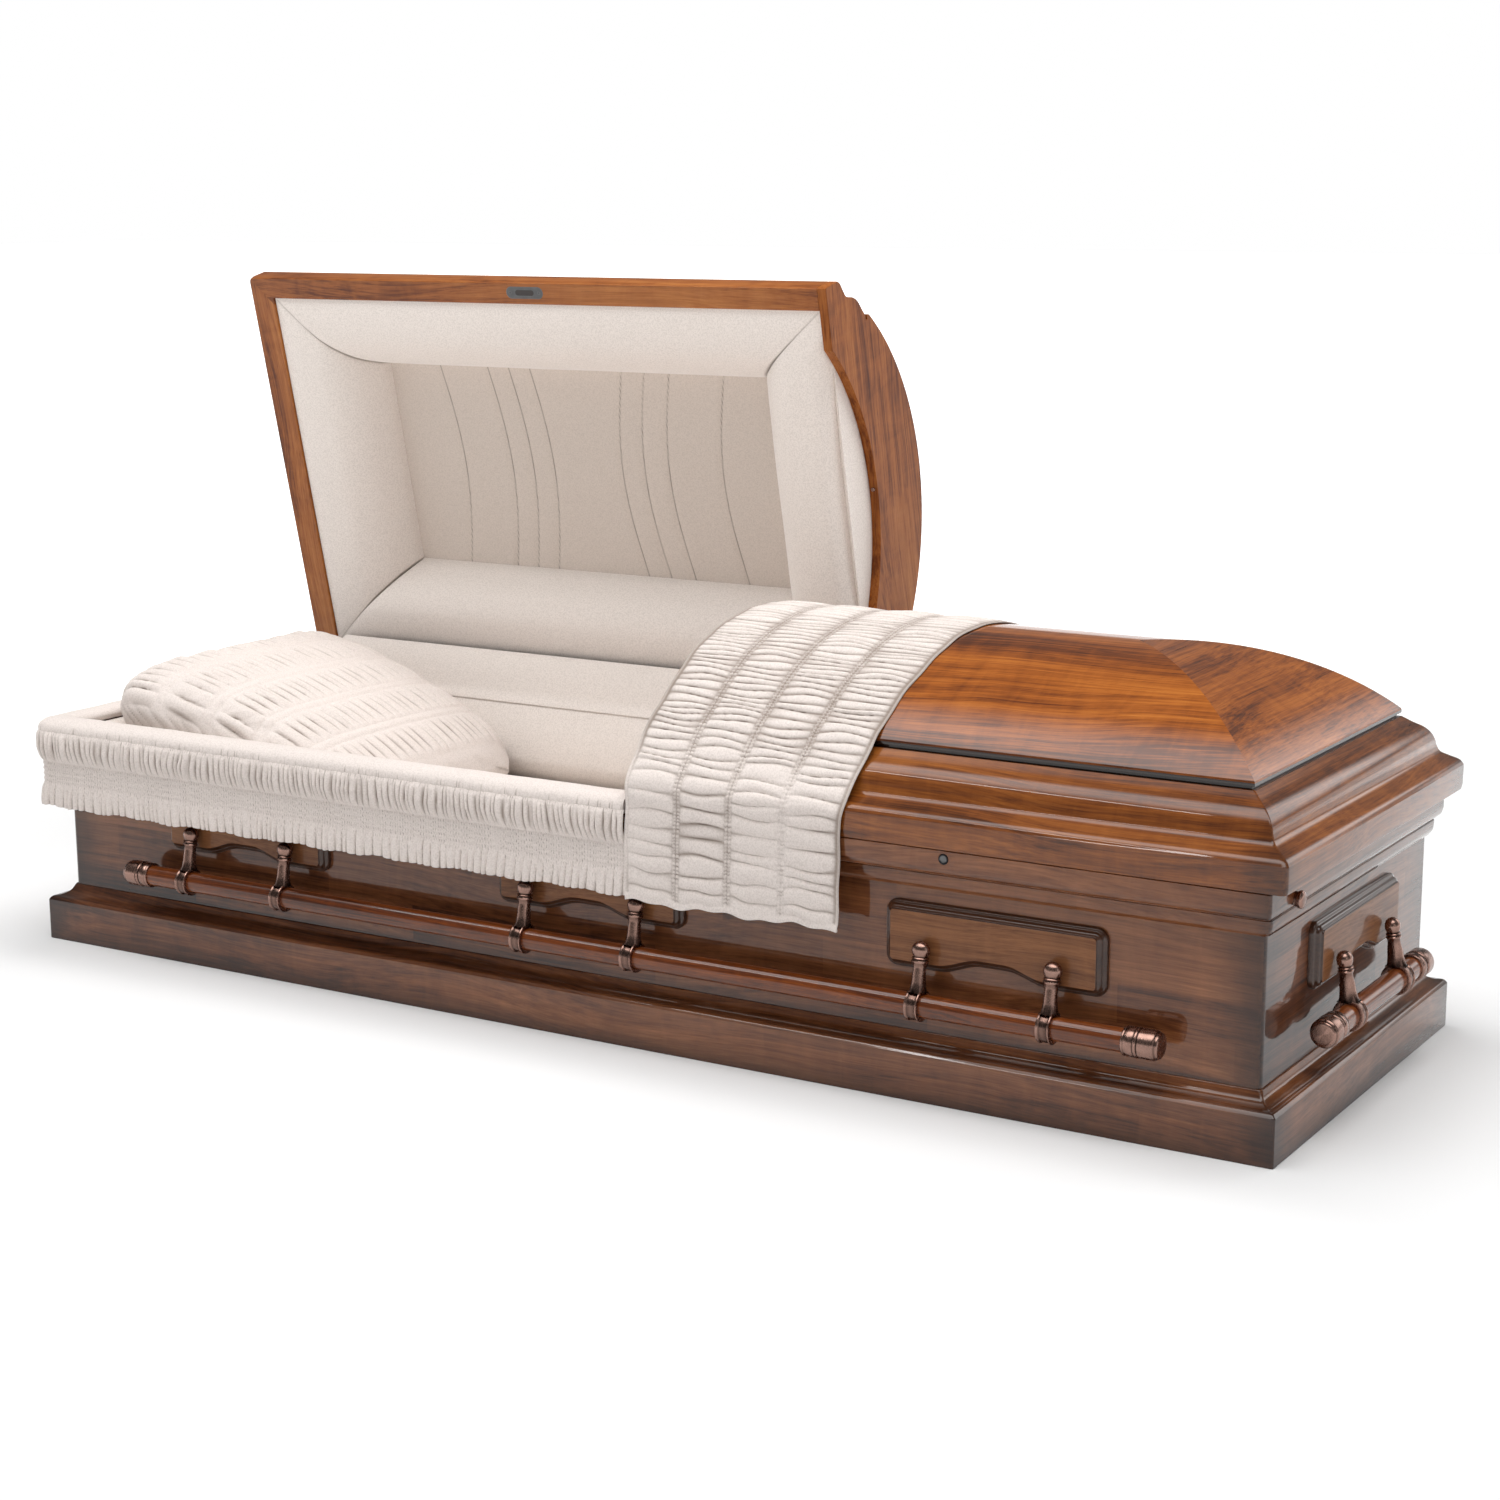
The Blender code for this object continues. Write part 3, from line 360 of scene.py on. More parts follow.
def curve(points, sharp=(), per=5):
    """Smooth line through points of any size, with a corner at the ones whose numbers are in sharp."""
    pts = [np.array(p, float) for p in points]
    out = [pts[0]]
    stops = [0] + sorted(i for i in sharp if 0 < i < len(pts) - 1) + [len(pts) - 1]
    for a, b in zip(stops, stops[1:]):
        run = pts[a:b + 1]
        if len(run) == 2:
            out.append(run[1])
            continue
        run = [2 * run[0] - run[1]] + run + [2 * run[-1] - run[-2]]
        for i in range(1, len(run) - 2):
            p0, p1, p2, p3 = run[i - 1:i + 3]
            t1 = max(1e-6, np.linalg.norm((p1 - p0)[:2])) ** 0.5
            t2 = max(1e-6, np.linalg.norm((p2 - p1)[:2])) ** 0.5
            t3 = max(1e-6, np.linalg.norm((p3 - p2)[:2])) ** 0.5
            m1 = t2 * ((p1 - p0) / t1 - (p2 - p0) / (t1 + t2) + (p2 - p1) / t2)
            m2 = t2 * ((p2 - p1) / t2 - (p3 - p1) / (t2 + t3) + (p3 - p2) / t3)
            for k in range(1, per + 1):
                t = k / per
                out.append((2 * t ** 3 - 3 * t ** 2 + 1) * p1 + (t ** 3 - 2 * t ** 2 + t) * m1
                    + (3 * t ** 2 - 2 * t ** 3) * p2 + (t ** 3 - t ** 2) * m2)
    return out


def faces_of(rows, cols, loop_cols=False, loop_rows=False):
    j, i = np.meshgrid(np.arange(rows if loop_rows else rows - 1), np.arange(cols if loop_cols else cols - 1),
        indexing="ij")
    k, m = (j + 1) % rows, (i + 1) % cols
    return np.stack([j * cols + i, j * cols + m, k * cols + m, k * cols + i], -1).reshape(-1, 4).tolist()


def tube_faces(rows, cols):
    """Faces of a tube with both ends shut."""
    return faces_of(rows, cols, True) + [list(range(cols - 1, -1, -1)),
        list(range((rows - 1) * cols, rows * cols))]


def linked(name, data):
    o = bpy.data.objects.new(name, data)
    bpy.context.scene.collection.objects.link(o)
    return o


def mesh_of(name, verts, faces):
    me = bpy.data.meshes.new(name)
    me.from_pydata([tuple(map(float, v)) for v in verts], [], faces)
    return me


def piece(name, verts, faces, look, body="casket", angle=32, bevel=0.0, closed=True, looks=None, fold=None):
    """Mesh object that rides on a body. Named as a CAD node and _form, _pad or _cloth, it replaces that node.

    Pieces of the head lid are made shut and swung open here. fold is 0 at a point in a crease, up to 1, and
    cloth is painted in shade where it is low."""
    me = mesh_of(name, verts, faces)
    slot = SLOTS.get(look, "lacquered_wood")
    if slot.startswith("cream"):
        share = np.ones(len(verts)) if fold is None else np.asarray(fold, float).ravel()
        me.attributes.new("fold", "FLOAT", "POINT").data.foreach_set("value", share)
    if body == "head_lid":
        me.transform(HEAD_OPEN)
    bm = bmesh.new()
    bm.from_mesh(me)
    bmesh.ops.remove_doubles(bm, verts=bm.verts, dist=1e-6)
    if closed:
        bmesh.ops.recalc_face_normals(bm, faces=bm.faces)
        if bm.calc_volume(signed=True) < 0:
            bmesh.ops.reverse_faces(bm, faces=bm.faces)
    bm.to_mesh(me)
    bm.free()
    for key in (looks or [look]):
        me.materials.append(LOOKS[key])
    me.shade_smooth()
    me.set_sharp_from_angle(angle=radians(angle))
    o = linked(name, me)
    if bevel:
        given(o.modifiers.new("soft_edges", "BEVEL"), width=bevel, segments=3, limit_method="ANGLE",
            angle_limit=radians(38), harden_normals=True)
    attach(o, body)
    node, _, kind = name.rpartition("_")
    if kind in ("form", "pad", "cloth"):
        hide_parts(node)
    return o


def grid_piece(name, grid, look, form="tube", **how):
    """Piece from a grid of points, rows by columns.

    A tube's rows and a rail's columns are rings, and both have shut ends; a loop closes on itself."""
    grid = np.asarray(grid, float)
    rows, cols = grid.shape[:2]
    if form == "tube":
        faces = tube_faces(rows, cols)
    else:
        faces = faces_of(rows, cols, form in ("open tube", "loop"), form in ("rail", "loop"))
    if form == "rail":
        faces += [[j * cols for j in range(rows)], [j * cols + cols - 1 for j in range(rows - 1, -1, -1)]]
    return piece(name, grid.reshape(-1, 3), faces, look, **how)


def corner_points(front, end, back, r, n):
    pts = []
    for sx, y, start in ((1, -front, -90), (1, back, 0), (-1, back, 90), (-1, -front, 180)):
        cx, cy = sx * (end - r), (y + r if y < 0 else y - r)
        for i in range(n + 1):
            a = radians(start + 90 * i / n)
            pts.append((cx + r * cos(a), cy + r * sin(a)))
    return pts


def frame_piece(name, profile, look, n=5, **how):
    """Closed frame round the box from (front, end, back, z, corner radius) points."""
    grid = [[(x, y, p[3]) for x, y in corner_points(p[0], p[1], p[2], p[4], n)] for p in profile]
    return grid_piece(name, grid, look, "loop", **how)


def same(d, z, r):
    return (BODY_Y + d, BODY_X + d, BODY_Y + d, z, r)


def rail(share, down, r=0.006):
    return (BODY_Y + share * (RAIL_F - BODY_Y), BODY_X + share * RAIL_END, BODY_Y + share * RAIL_BACK,
        BODY_TOP - down, r)


# Box: base, side boards and rail
BASE_LINE = table("0 24 3, 4 19.3 3, 12 17.8 3, 20 14.5 3, 26.2 9.2 4, 30 0 8")
base_top = curve([same(BODY_IN - d, BASE_TOP - z, r) for d, z, r in BASE_LINE], per=4)
frame_piece("base_moulding_form",
    [same(BODY_IN, 0.0, 0.003)] + base_top + [same(-WALL, BASE_TOP, GAP), same(-WALL, 0.0, GAP)], "base",
    bevel=0.0014)
frame_piece("body_sides_form", [same(0, BASE_TOP + GAP, BODY_R), same(0, BODY_TOP, BODY_R),
    same(-WALL, BODY_TOP, 0.002), same(-WALL, BASE_TOP + GAP, 0.002)], "body", n=8)
BEAD_LINE = table("0.3 62.5, 4.5 62.5, 9.2 52.5, 10 43, 8.5 41")
bead = curve([same(d, BODY_TOP - z, BODY_R) for d, z in BEAD_LINE], sharp=(1,), per=4)
rail_face = curve([same(0.0085, BODY_TOP - 0.041, BODY_R), rail(0.68, 0.036), rail(0.89, 0.0318),
    rail(1.0, 0.0235), rail(1.0, 0.001), rail(0.96, 0.0)], sharp=(3, 4), per=4)
frame_piece("top_moulding_form", bead + rail_face[1:] + [same(GAP, BODY_TOP, BODY_R)], "rail", bevel=0.001)

# Lid frames and crowns; t is |y| on the sides and |x| - HIP on the ends
OGEE = table("0 0 8, 1.6 8.4 8, 2 36.4 8, -2.5 43.1 7, -14.6 50.1 5, -25.9 57.3 4, -30.1 66.1 3,"
    "-32.4 75.3 3, -38 85.8 2, -45.8 94 2, -57.3 101.4 2, -69.9 110.5 2")
RIM_IN = table("-90 110.5, -90 95.9, -71 85.4, -58 68.4, -52 43.4, -35 28.4, -35 0")
ogee_line = curve([(LID_Y + t, LID_Z + z, r) for t, z, r in OGEE], sharp=(1, 2), per=5)
rim_line = [(t, z, r, 0.0) for t, z, r in ogee_line]
rim_line += [(LID_Y + t, LID_Z + z, 0.001, 0.0114 if i >= 5 else 0.0) for i, (t, z) in enumerate(RIM_IN)]


def rim(name, split, sign, look, **how):
    grid = []
    for t, z, r, wider in rim_line:
        row = [(split, -t, z)]
        for sy in (-1, 1):
            turns = [90 - 18 * k for k in range(6)]
            for a in (turns if sy < 0 else turns[::-1]):
                row.append((sign * (t - wider + HIP - r + r * cos(radians(a))),
                    sy * (t - r + r * sin(radians(a))), z))
        grid.append(row + [(split, t, z)])
    return grid_piece(name, grid, look, form="rail", bevel=0.0012, **how)


def crown_z(t, down=0.0):
    r = CROWN_R - down
    return CROWN_TOP - CROWN_R + sqrt(r * r - t * t)


def crown(name, split, sign, look, **how):
    outer = [(LID_Y - 0.076, LID_Z + 0.1108), (LID_Y - 0.076, LID_Z + 0.1152),
        (LID_Y - 0.0708, LID_Z + 0.1156), (CROWN_EDGE + 0.001, LID_Z + 0.1196)]
    edge = CROWN_EDGE
    outer += [(edge * cos(pi / 2 * k / 36), crown_z(edge * cos(pi / 2 * k / 36))) for k in range(37)]
    inner_t = edge - 0.0177
    inner = [(inner_t * k / 16, crown_z(inner_t * k / 16, CROWN_T)) for k in range(17)]
    inner += [(inner_t, LID_Z + 0.1108)]
    pts = outer + inner
    verts, faces, n, m = [], [], len(pts), len(outer)
    for t, z in pts:
        t = max(t, 0.0)
        verts += [(split, -t, z), (sign * (HIP + t), -t, z), (sign * (HIP + t), t, z), (split, t, z)]
    for k in range(n):
        if k == m - 1:
            continue
        a, b = 4 * k, 4 * ((k + 1) % n)
        faces += [(a + i, a + i + 1, b + i + 1, b + i) for i in range(3)]
    loop = [4 * k for k in range(m)] + [4 * k + 3 for k in range(m - 2, -1, -1)]
    loop += [4 * k + 3 for k in range(n - 1, m, -1)] + [4 * k for k in range(m, n)]
    faces.append(tuple(loop))
    o = piece(name, verts, faces, look, looks=[look, "lip"], **how)
    me = o.data
    shut = HEAD_OPEN.inverted() if how["body"] == "head_lid" else Matrix.Identity(4)
    for e in me.edges:
        a, b = (shut @ me.vertices[i].co for i in e.vertices)
        if all(abs(abs(v.x) - HIP - abs(v.y)) < 1e-4 for v in (a, b)) and abs(a.y - b.y) > 1e-6:
            e.use_edge_sharp = True
    # Faces in the notch under the crown's lip take the near-black lip look: painted shade
    for p in me.polygons:
        middle, normal = shut @ p.center, shut.to_3x3() @ p.normal
        if middle.z < LID_Z + 0.1205 and abs(normal.z) < 0.9:
            p.material_index = 1
    return o


def header(name, a, b, look, **how):
    side = [(t, z) for t, z, r in ogee_line] + [(LID_Y - 0.078, LID_Z + 0.1105),
        (LID_Y - 0.078, LID_Z + 0.1156), (LID_Y - 0.0708, LID_Z + 0.1156), (LID_Y - 0.0708, LID_Z + 0.1196)]
    side += [(CROWN_EDGE * cos(pi / 2 * k / 32), crown_z(CROWN_EDGE * cos(pi / 2 * k / 32)))
        for k in range(32)]
    arch = [(ARCH_T * sin(pi / 2 * k / 28),
        ARCH_TOP - ARCH_R + sqrt(ARCH_R ** 2 - (ARCH_T * sin(pi / 2 * k / 28)) ** 2))
        for k in range(1, 28)] + [(ARCH_T, LID_Z)]
    poly = [(-t, z) for t, z in side] + [(0.0, CROWN_TOP)] + side[::-1]
    poly += arch[::-1] + [(0.0, ARCH_TOP)] + [(-t, z) for t, z in arch]
    grid = [[(x, y, z) for y, z in poly] for x in (a, b)]
    return grid_piece(name, grid, look, bevel=0.001, **how)


LIDS = [("foot_lid", 1, FOOT_IN + GAP, (SPLIT_FOOT, FOOT_IN), ("lid", "crown", "header")),
    ("head_lid", -1, HEAD_IN - GAP, (HEAD_IN, SPLIT_HEAD), ("head_lid", "head_crown", "head_header"))]
for lid, sign, inner, ends, looks in LIDS:
    rim(lid + "_rim_form", inner, sign, looks[0], body=lid)
    crown(lid + "_crown_form", inner, sign, looks[1], body=lid)
    header(lid + "_header_form", *ends, looks[2], body=lid)


def lathe(name, rows, look, centre, axis, n=32, **how):
    """Turned piece: rows are distances along the axis and radii, in millimetres."""
    axis = Vector(axis).normalized()
    u = axis.orthogonal().normalized()
    v = axis.cross(u)
    grid = [[Vector(centre) + axis * s + (u * cos(2 * pi * i / n) + v * sin(2 * pi * i / n)) * max(r, 1e-5)
        for i in range(n)] for s, r in table(rows)]
    return grid_piece(name, grid, look, **how)


EYE_AT = (0.589, -RAIL_F, BODY_TOP - 0.011)
lathe("lock_eyelet_form", "0.1 0.1, 0.1 4, 0.3 4.4, 0.9 5.2, 1.1 6.2, 0.8 7, 0 7.4, -0.4 7.4", "steel",
    EYE_AT, (0, -1, 0), closed=False, form="open tube")
lathe("end_knob_form", "0 9.8, 3.2 10, 4 11.2, 5 11.6, 8.2 11.6, 9.4 10.8, 10.6 8.8, 11.2 5.5, 11.3 1",
    "copper", (RAIL_E + GAP, -0.2655, BODY_TOP - 0.0235), (1, 0, 0))
lathe("head_lid_peg_form", "0.8 3.6, 2.4 3.6, 3.4 3, 4.1 2, 4.5 0.6", "copper",
    (SPLIT_HEAD - HEADER / 2, -0.004, ARCH_TOP), (0, 0, -1), n=20, body="head_lid")


def stadium(name, rows, half, r, look, **how):
    """Round-ended plate under the head lid's front rail; rows are insets and heights, in millimetres."""
    grid = []
    for inset, z in table(rows):
        row = []
        for end in (1, -1):
            for k in range(13):
                a = (pi / 2 if end > 0 else pi * 1.5) - pi * k / 12
                row.append((LATCH_X + end * (half - r) + (r - inset) * cos(a), LATCH_Y + (r - inset) * sin(a),
                    LID_Z + z))
        grid.append(row)
    return grid_piece(name, grid, look, body="head_lid", **how)


stadium("head_latch_plate_form", "0 3, 0 0, 0.6 -0.3, 1.6 -0.3", 0.0365, 0.01, "steel")
# Near-black sheet on the latch plate: painted shade inside its slot
stadium("head_latch_slot", "0 0.4, 0 -0.35, 0.6 -0.38", 0.0183, 0.0046, "lip")
for k, at in ((1, LATCH_X - LATCH_SCREW), (2, LATCH_X + LATCH_SCREW)):
    lathe("latch_screw_%d" % k, "0.2 3.2, 0.8 3.2, 1.1 2.6, 0.9 1.2, 0.9 0.3", "steel",
        (at, LATCH_Y, LID_Z + 0.0006), (0, 0, -1), n=20, body="head_lid")


# Handles, built for the front in (along, out, up)
def turn_to(side):
    return {"front": lambda p: (p[0], -(BODY_Y + p[1]), p[2]), "back": lambda p: (p[0], BODY_Y + p[1], p[2]),
        "foot": lambda p: (BODY_X + p[1], p[0], p[2]), "head": lambda p: (-(BODY_X + p[1]), p[0], p[2])}[side]


def plate_outline(inset):
    w, z0, z1 = PLATE_HALF - inset, PLATE_Z0 + inset, PLATE_Z1 - inset
    r = max(0.004, 0.016 - inset)

    def turn(x, z, start):
        return [(x + r * cos(radians(start + 15 * q)), z + r * sin(radians(start + 15 * q)))
            for q in range(7)]

    pts = turn(w - r, z1 - r, 0) + turn(-(w - r), z1 - r, 90) + turn(-(w - r), z0 + r, 180)
    for k in range(33):
        s = -0.08 + 0.16 * k / 32
        f = min(1.0, (0.08 - abs(s)) / 0.062)
        pts.append((s, z0 + NOTCH * f * f * (3 - 2 * f)))
    return pts + turn(w - r, z0 + r, 270)


PLATE_PROFILE = table("0 0.3, 0 5, 0.7 6.6, 2.2 7.4, 3.4 7.8, 4.6 8.8, 5.2 10.6, 6 12.2, 7.8 13.4,"
    "9.6 14, 10.4 14.6, 10.6 15.8, 11.2 16.8, 12.4 17")


def plate(name, side, centre):
    put = turn_to(side)
    grid = [[put((centre + u, out, v)) for u, v in plate_outline(inset)] for inset, out in PLATE_PROFILE]
    face = "plate_end" if side in ("foot", "head") else "plate"
    o = grid_piece(name + "_form", grid, face, looks=[face, "plate_edge"], angle=50)
    away = Vector(put((0, 1, 0))) - Vector(put((0, 0, 0)))
    for p in o.data.polygons:
        flat_face = p.normal.dot(away) > 0.98 and abs(p.center.dot(away)
            - Vector(put((0, PLATE_T, 0))).dot(away)) < 4e-4
        p.material_index = 0 if flat_face else 1


def round_rows(side, along, rows, n=28):
    put = turn_to(side)
    return [[put((along + s, BAR_OUT + r * cos(2 * pi * i / n), BAR_Z + r * sin(2 * pi * i / n)))
        for i in range(n)] for s, r in rows]


ARM_ROWS = table("-1 0.05, -0.97 0.26, -0.86 0.52, -0.66 0.76, -0.4 0.92, -0.1 1, 0.2 1, 0.5 0.92,"
    "0.72 0.8, 0.8 0.78, 0.86 0.92, 0.94 0.97, 1.02 0.92, 1.08 0.8, 1.14 0.8, 1.2 0.94, 1.3 0.99,"
    "1.42 0.95, 1.52 0.84, 1.72 0.74, 2.1 0.69, 2.8 0.68, 3.6 0.72, 4.3 0.8, 4.8 0.92, 5.15 1.06", 1)
HOOP = table("-9.4 0, -9.7 3.8, -9.2 5.3, -7.8 5.6, -6.4 4.8, -5.2 3.6, 0 4.2, 5.2 3.6, 6.4 4.8, 7.8 5.6,"
    "9.2 5.3, 9.7 3.8, 9.4 0")


def arm(name, side, along, body):
    put = turn_to(side)
    head = Vector((0.0, PIVOT_OUT, PIVOT_Z))
    down = Vector((0.0, BAR_OUT, BAR_Z)) - head
    u = down.normalized()
    v = u.cross(Vector((1, 0, 0)))
    n = 20
    verts = []
    for s, r in ARM_ROWS:
        s = min(s * ARM_LONG * DOME_R, down.length - BAR_R - 0.0018)
        deep = 1.0 + 0.45 * min(1.0, max(0.0, (s / DOME_R - 1.6) / 1.4))
        for i in range(n):
            a = 2 * pi * i / n
            q = head + u * s + (Vector((ARM_WIDE, 0, 0)) * cos(a) + v * (deep * sin(a))) * (r * DOME_R)
            verts.append(put((along + q.x, q.y, q.z)))
    faces = tube_faces(len(ARM_ROWS), n)
    ring = round_rows(side, along, [(s, BAR_R + 0.0002 + r) for s, r in HOOP])
    first = len(verts)
    verts += [p for row in ring for p in row]
    faces += [[first + i for i in f] for f in faces_of(len(HOOP), 28, loop_cols=True, loop_rows=True)]
    piece(name + "_form", verts, faces, "copper", body=body, angle=40)


TIP = table("0 16, 0 18.4, 1 19.4, 3 19.4, 3.6 18.9, 4.2 19.4, 15 19.4, 15.8 18.6, 16.6 18.6, 17.4 19.8,"
    "19 20.2, 20.6 19.8, 21.4 18.6, 22.4 18.6, 23.2 19.7, 42 19.7, 43.6 19.2, 44.6 18, 45.4 17.4,"
    "47.4 17.2, 49 16.4, 49.8 14.8, 50 12, 50 0.6")


def bar(name, side, centre, half, body):
    e = half - TIP_L
    look = "bar_end" if side in ("foot", "head") else "bar"
    grid_piece(name + "_form", round_rows(side, centre,
        [(-e - 0.001, BAR_R), (-e / 2, BAR_R), (e / 2, BAR_R), (e + 0.001, BAR_R)], 40), look, body=body)
    for k, s in ((1, -1), (2, 1)):
        grid_piece("%s_tip_%d" % (name, k), round_rows(side, centre, [(s * (e + d), r) for d, r in TIP], 36),
            "copper", body=body, angle=50)


for side in ("front", "back"):
    for i in range(3):
        centre = PLATE_MID + PLATE_STEP * (i - 1)
        plate("%s_plate_%d" % (side, i + 1), side, centre)
        arm("%s_arm_%d" % (side, 2 * i + 1), side, centre - ARM_HALF, side + "_handle")
        arm("%s_arm_%d" % (side, 2 * i + 2), side, centre + ARM_HALF, side + "_handle")
    bar(side + "_bar", side, PLATE_MID + BAR_SHIFT, PLATE_STEP + BAR_PAST, side + "_handle")
for side in ("foot", "head"):
    plate(side + "_plate", side, 0.0)
    arm(side + "_arm_1", side, END_BAR_MID - ARM_HALF, side + "_handle")
    arm(side + "_arm_2", side, END_BAR_MID + ARM_HALF, side + "_handle")
    bar(side + "_bar", side, END_BAR_MID, END_BAR_HALF, side + "_handle")


# Soft pieces
def smooth(x, a, b):
    t = np.clip((x - a) / (b - a), 0.0, 1.0)
    return t * t * (3 - 2 * t)


def fade(x, a, b):
    return 1 - smooth(x, a, b)


def bell(x, width):
    return np.exp(-(x / width) ** 2)


def drift(rng, x, size, count, low, high):
    """Slow uneven wave of about the given height."""
    out = np.zeros_like(x)
    for k in range(count // 4):
        out = out + rng.uniform(-1, 1) * np.sin(rng.uniform(low, high) * x + rng.uniform(0, 2 * pi))
    return out * size / sqrt(count / 8)


def gathers(s, rng, pitch, uneven=0.4, low=0.55):
    """Height from 0 to 1 of gathered cloth at distances s: rounded folds between creases.

    pitch is a number, or a function of the distance."""
    at, edges, high = float(np.min(s)) - 0.05, [], []
    while at < float(np.max(s)) + 0.1:
        edges.append(at)
        high.append(rng.uniform(low, 1.0))
        step = pitch(at) if callable(pitch) else pitch
        at += step * rng.uniform(1 - uneven, 1 + uneven)
    edges, high = np.array(edges), np.array(high)
    i = np.clip(np.searchsorted(edges, s, side="right") - 1, 0, len(edges) - 2)
    q = (s - edges[i]) / (edges[i + 1] - edges[i])
    return high[i] * np.clip(1 - np.abs(2 * q - 1) ** 2.4, 0.0, 1.0) ** 0.75


def resampled(points, step):
    """Points at even distances on a line through the given ones, and those distances."""
    pts = np.array(points)
    far = np.concatenate([[0.0], np.cumsum(np.linalg.norm(np.diff(pts[:, :2], axis=0), axis=1))])
    at = np.linspace(0.0, far[-1], int(far[-1] / step) + 1)
    return np.stack([np.interp(at, far, pts[:, k]) for k in range(pts.shape[1])], -1), at


def throw():
    lift = 0.0016
    path = [(-LID_Y - 0.0075, BODY_TOP - 0.128, 0.034), (-LID_Y - 0.0066, BODY_TOP - 0.051, 0.032),
        (-LID_Y - 0.0058, LID_Z + 0.0084, 0.029), (-LID_Y - 0.005, LID_Z + 0.035, 0.027),
        (-LID_Y + 0.03, LID_Z + 0.0829, 0.022), (-CROWN_EDGE - 0.003, LID_Z + 0.1252, 0.0164)]
    share = [0.935, 0.857, 0.757, 0.65, 0.535, 0.41, 0.278, 0.143, 0.0]
    path += [(-k * CROWN_EDGE, crown_z(k * CROWN_EDGE) + lift, 0.0164 * k * k) for k in share]
    path += [(k * CROWN_EDGE, crown_z(k * CROWN_EDGE) + lift, 0.0) for k in share[-2::-1]]
    path += [(CROWN_EDGE + 0.003, LID_Z + 0.1252, 0.0), (LID_Y - 0.05, LID_Z + 0.1056, 0.0)]
    line, s = resampled(curve(path, per=8), 0.0015)
    tangent = np.gradient(line[:, :2], axis=0)
    tangent /= np.linalg.norm(tangent, axis=1)[:, None]
    normal = np.stack([-tangent[:, 1], tangent[:, 0]], -1)
    columns = [0.0, 0.245, 0.49, 0.74, 1.0]
    half = 0.023
    v = []
    for a, b in zip(columns, columns[1:]):
        v += list(np.linspace(a, a + half, 5)[:-1]) + list(np.linspace(a + half, b - half, 22)[:-1])
        v += list(np.linspace(b - half, b, 5)[:-1])
    v = np.array(v + [1.0])
    S, V = np.meshgrid(s, v, indexing="ij")
    rng = np.random.default_rng(7)
    low_part = fade(S, 0.17, 0.3)

    def pitch(at):
        return 0.0215 if at < 0.2 else (0.013 if at < 0.3 else 0.0112)

    h = np.zeros_like(S)
    for k, (a, b) in enumerate(zip(columns, columns[1:])):
        w = (V - a) / (b - a)
        inside = (w >= 0) & (w <= 1)
        bow = 0.0035 * np.sin(pi * w) * np.sin(S * (31 + 7 * k) + k) + 0.0016 * np.sin(S * 110 + 5 * w + k)
        big = gathers(S + bow + 0.0015 * (w - 0.5), rng, pitch, 0.38)
        small = gathers(S + 0.5 * bow, rng, 0.0075, 0.4)
        lens = np.sin(pi * np.clip(w, 0, 1)) ** 0.55
        top = big * 0.0058 * lens + small * 0.0012 * (1 - lens)
        h = np.where(inside, top, h)
    for c in columns:
        near = fade(np.abs(V - c), 0.3 * half, 1.15 * half)
        tight = gathers(S + 0.001 * np.sin(V * 700), rng, 0.0056, 0.3, 0.6)
        line_dip = bell(np.abs(V - c) - 0.75 * half, 0.004) + bell(V - c, 0.004)
        h = h * (1 - near) + near * (0.003 * tight * (1 - 0.55 * np.clip(line_dip, 0, 1)))
    edge = np.minimum(V, 1 - V) * 0.3725
    h = h * smooth(edge, 0.002, 0.01) + 0.0016 * fade(edge, 0.0016, 0.005)
    hem = fade(S, 0.004, 0.012)
    h = h * (1 - hem) + 0.003 * hem
    h += 0.0012 * low_part * (1 + np.sin(V * 9 + 1.5) * np.sin(S * 14))
    uneven = 0.0022 * np.sin(V * 17 + 0.5) + 0.0016 * np.sin(V * 41) + 0.003 * (V - 0.5)
    drop = fade(S, 0.0, 0.1) * uneven
    x1 = THROW_X1 - line[:, 2]
    wander = 0.0012 * np.sin(S * 33) + 0.0008 * np.sin(S * 81)
    X = THROW_X0 - 0.0005 + V * (x1[:, None] - THROW_X0) + wander * (V - 0.5) * 2
    Y = line[:, 0][:, None] + normal[:, 0][:, None] * h
    Z = line[:, 1][:, None] + normal[:, 1][:, None] * h + drop
    grid = np.stack([X, Y, Z], -1)
    depth = np.concatenate([np.zeros((len(s), 1)), -normal], axis=1)[:, None, :]

    def turned(edge, down, x):
        return edge + depth * down + np.array([x, 0, 0])

    left, right = grid[:, :1], grid[:, -1:]
    grid = np.concatenate([turned(left, 0.0026, 0.003), turned(left, 0.0016, -0.0007), grid,
        turned(right, 0.0016, 0.0007), turned(right, 0.0026, -0.003)], axis=1)
    grid = np.concatenate([grid[:1] + np.array([0, 0.003, 0.003]), grid[:1] + np.array([0, 0.0018, -0.0006]),
        grid, grid[-1:] + np.array([0, 0.0004, -0.0012])], axis=0)
    # Painted shade in the gathers' creases, where the height is low
    fold = np.pad(np.clip(h / 0.0044, 0, 1), ((2, 1), (2, 2)), mode="edge")
    o = grid_piece("throw_cloth", grid[:, ::-1], "crepe", "sheet", body="foot_lid", closed=False, angle=75,
        fold=fold[:, ::-1])


throw()


def round_box(d, z, at):
    """Point d out from the rail, at a station along the front, round the corner or along the head end."""
    kind, value = at
    r = max(0.002, 0.014 + d)
    x1, y1 = -(RAIL_E + d), -(RAIL_F + d)
    if kind == "front":
        return (value, y1, z)
    if kind == "end":
        return (x1, value, z)
    a = radians(-90 - 90 * value)
    return (x1 + r + r * cos(a), y1 + r + r * sin(a), z)


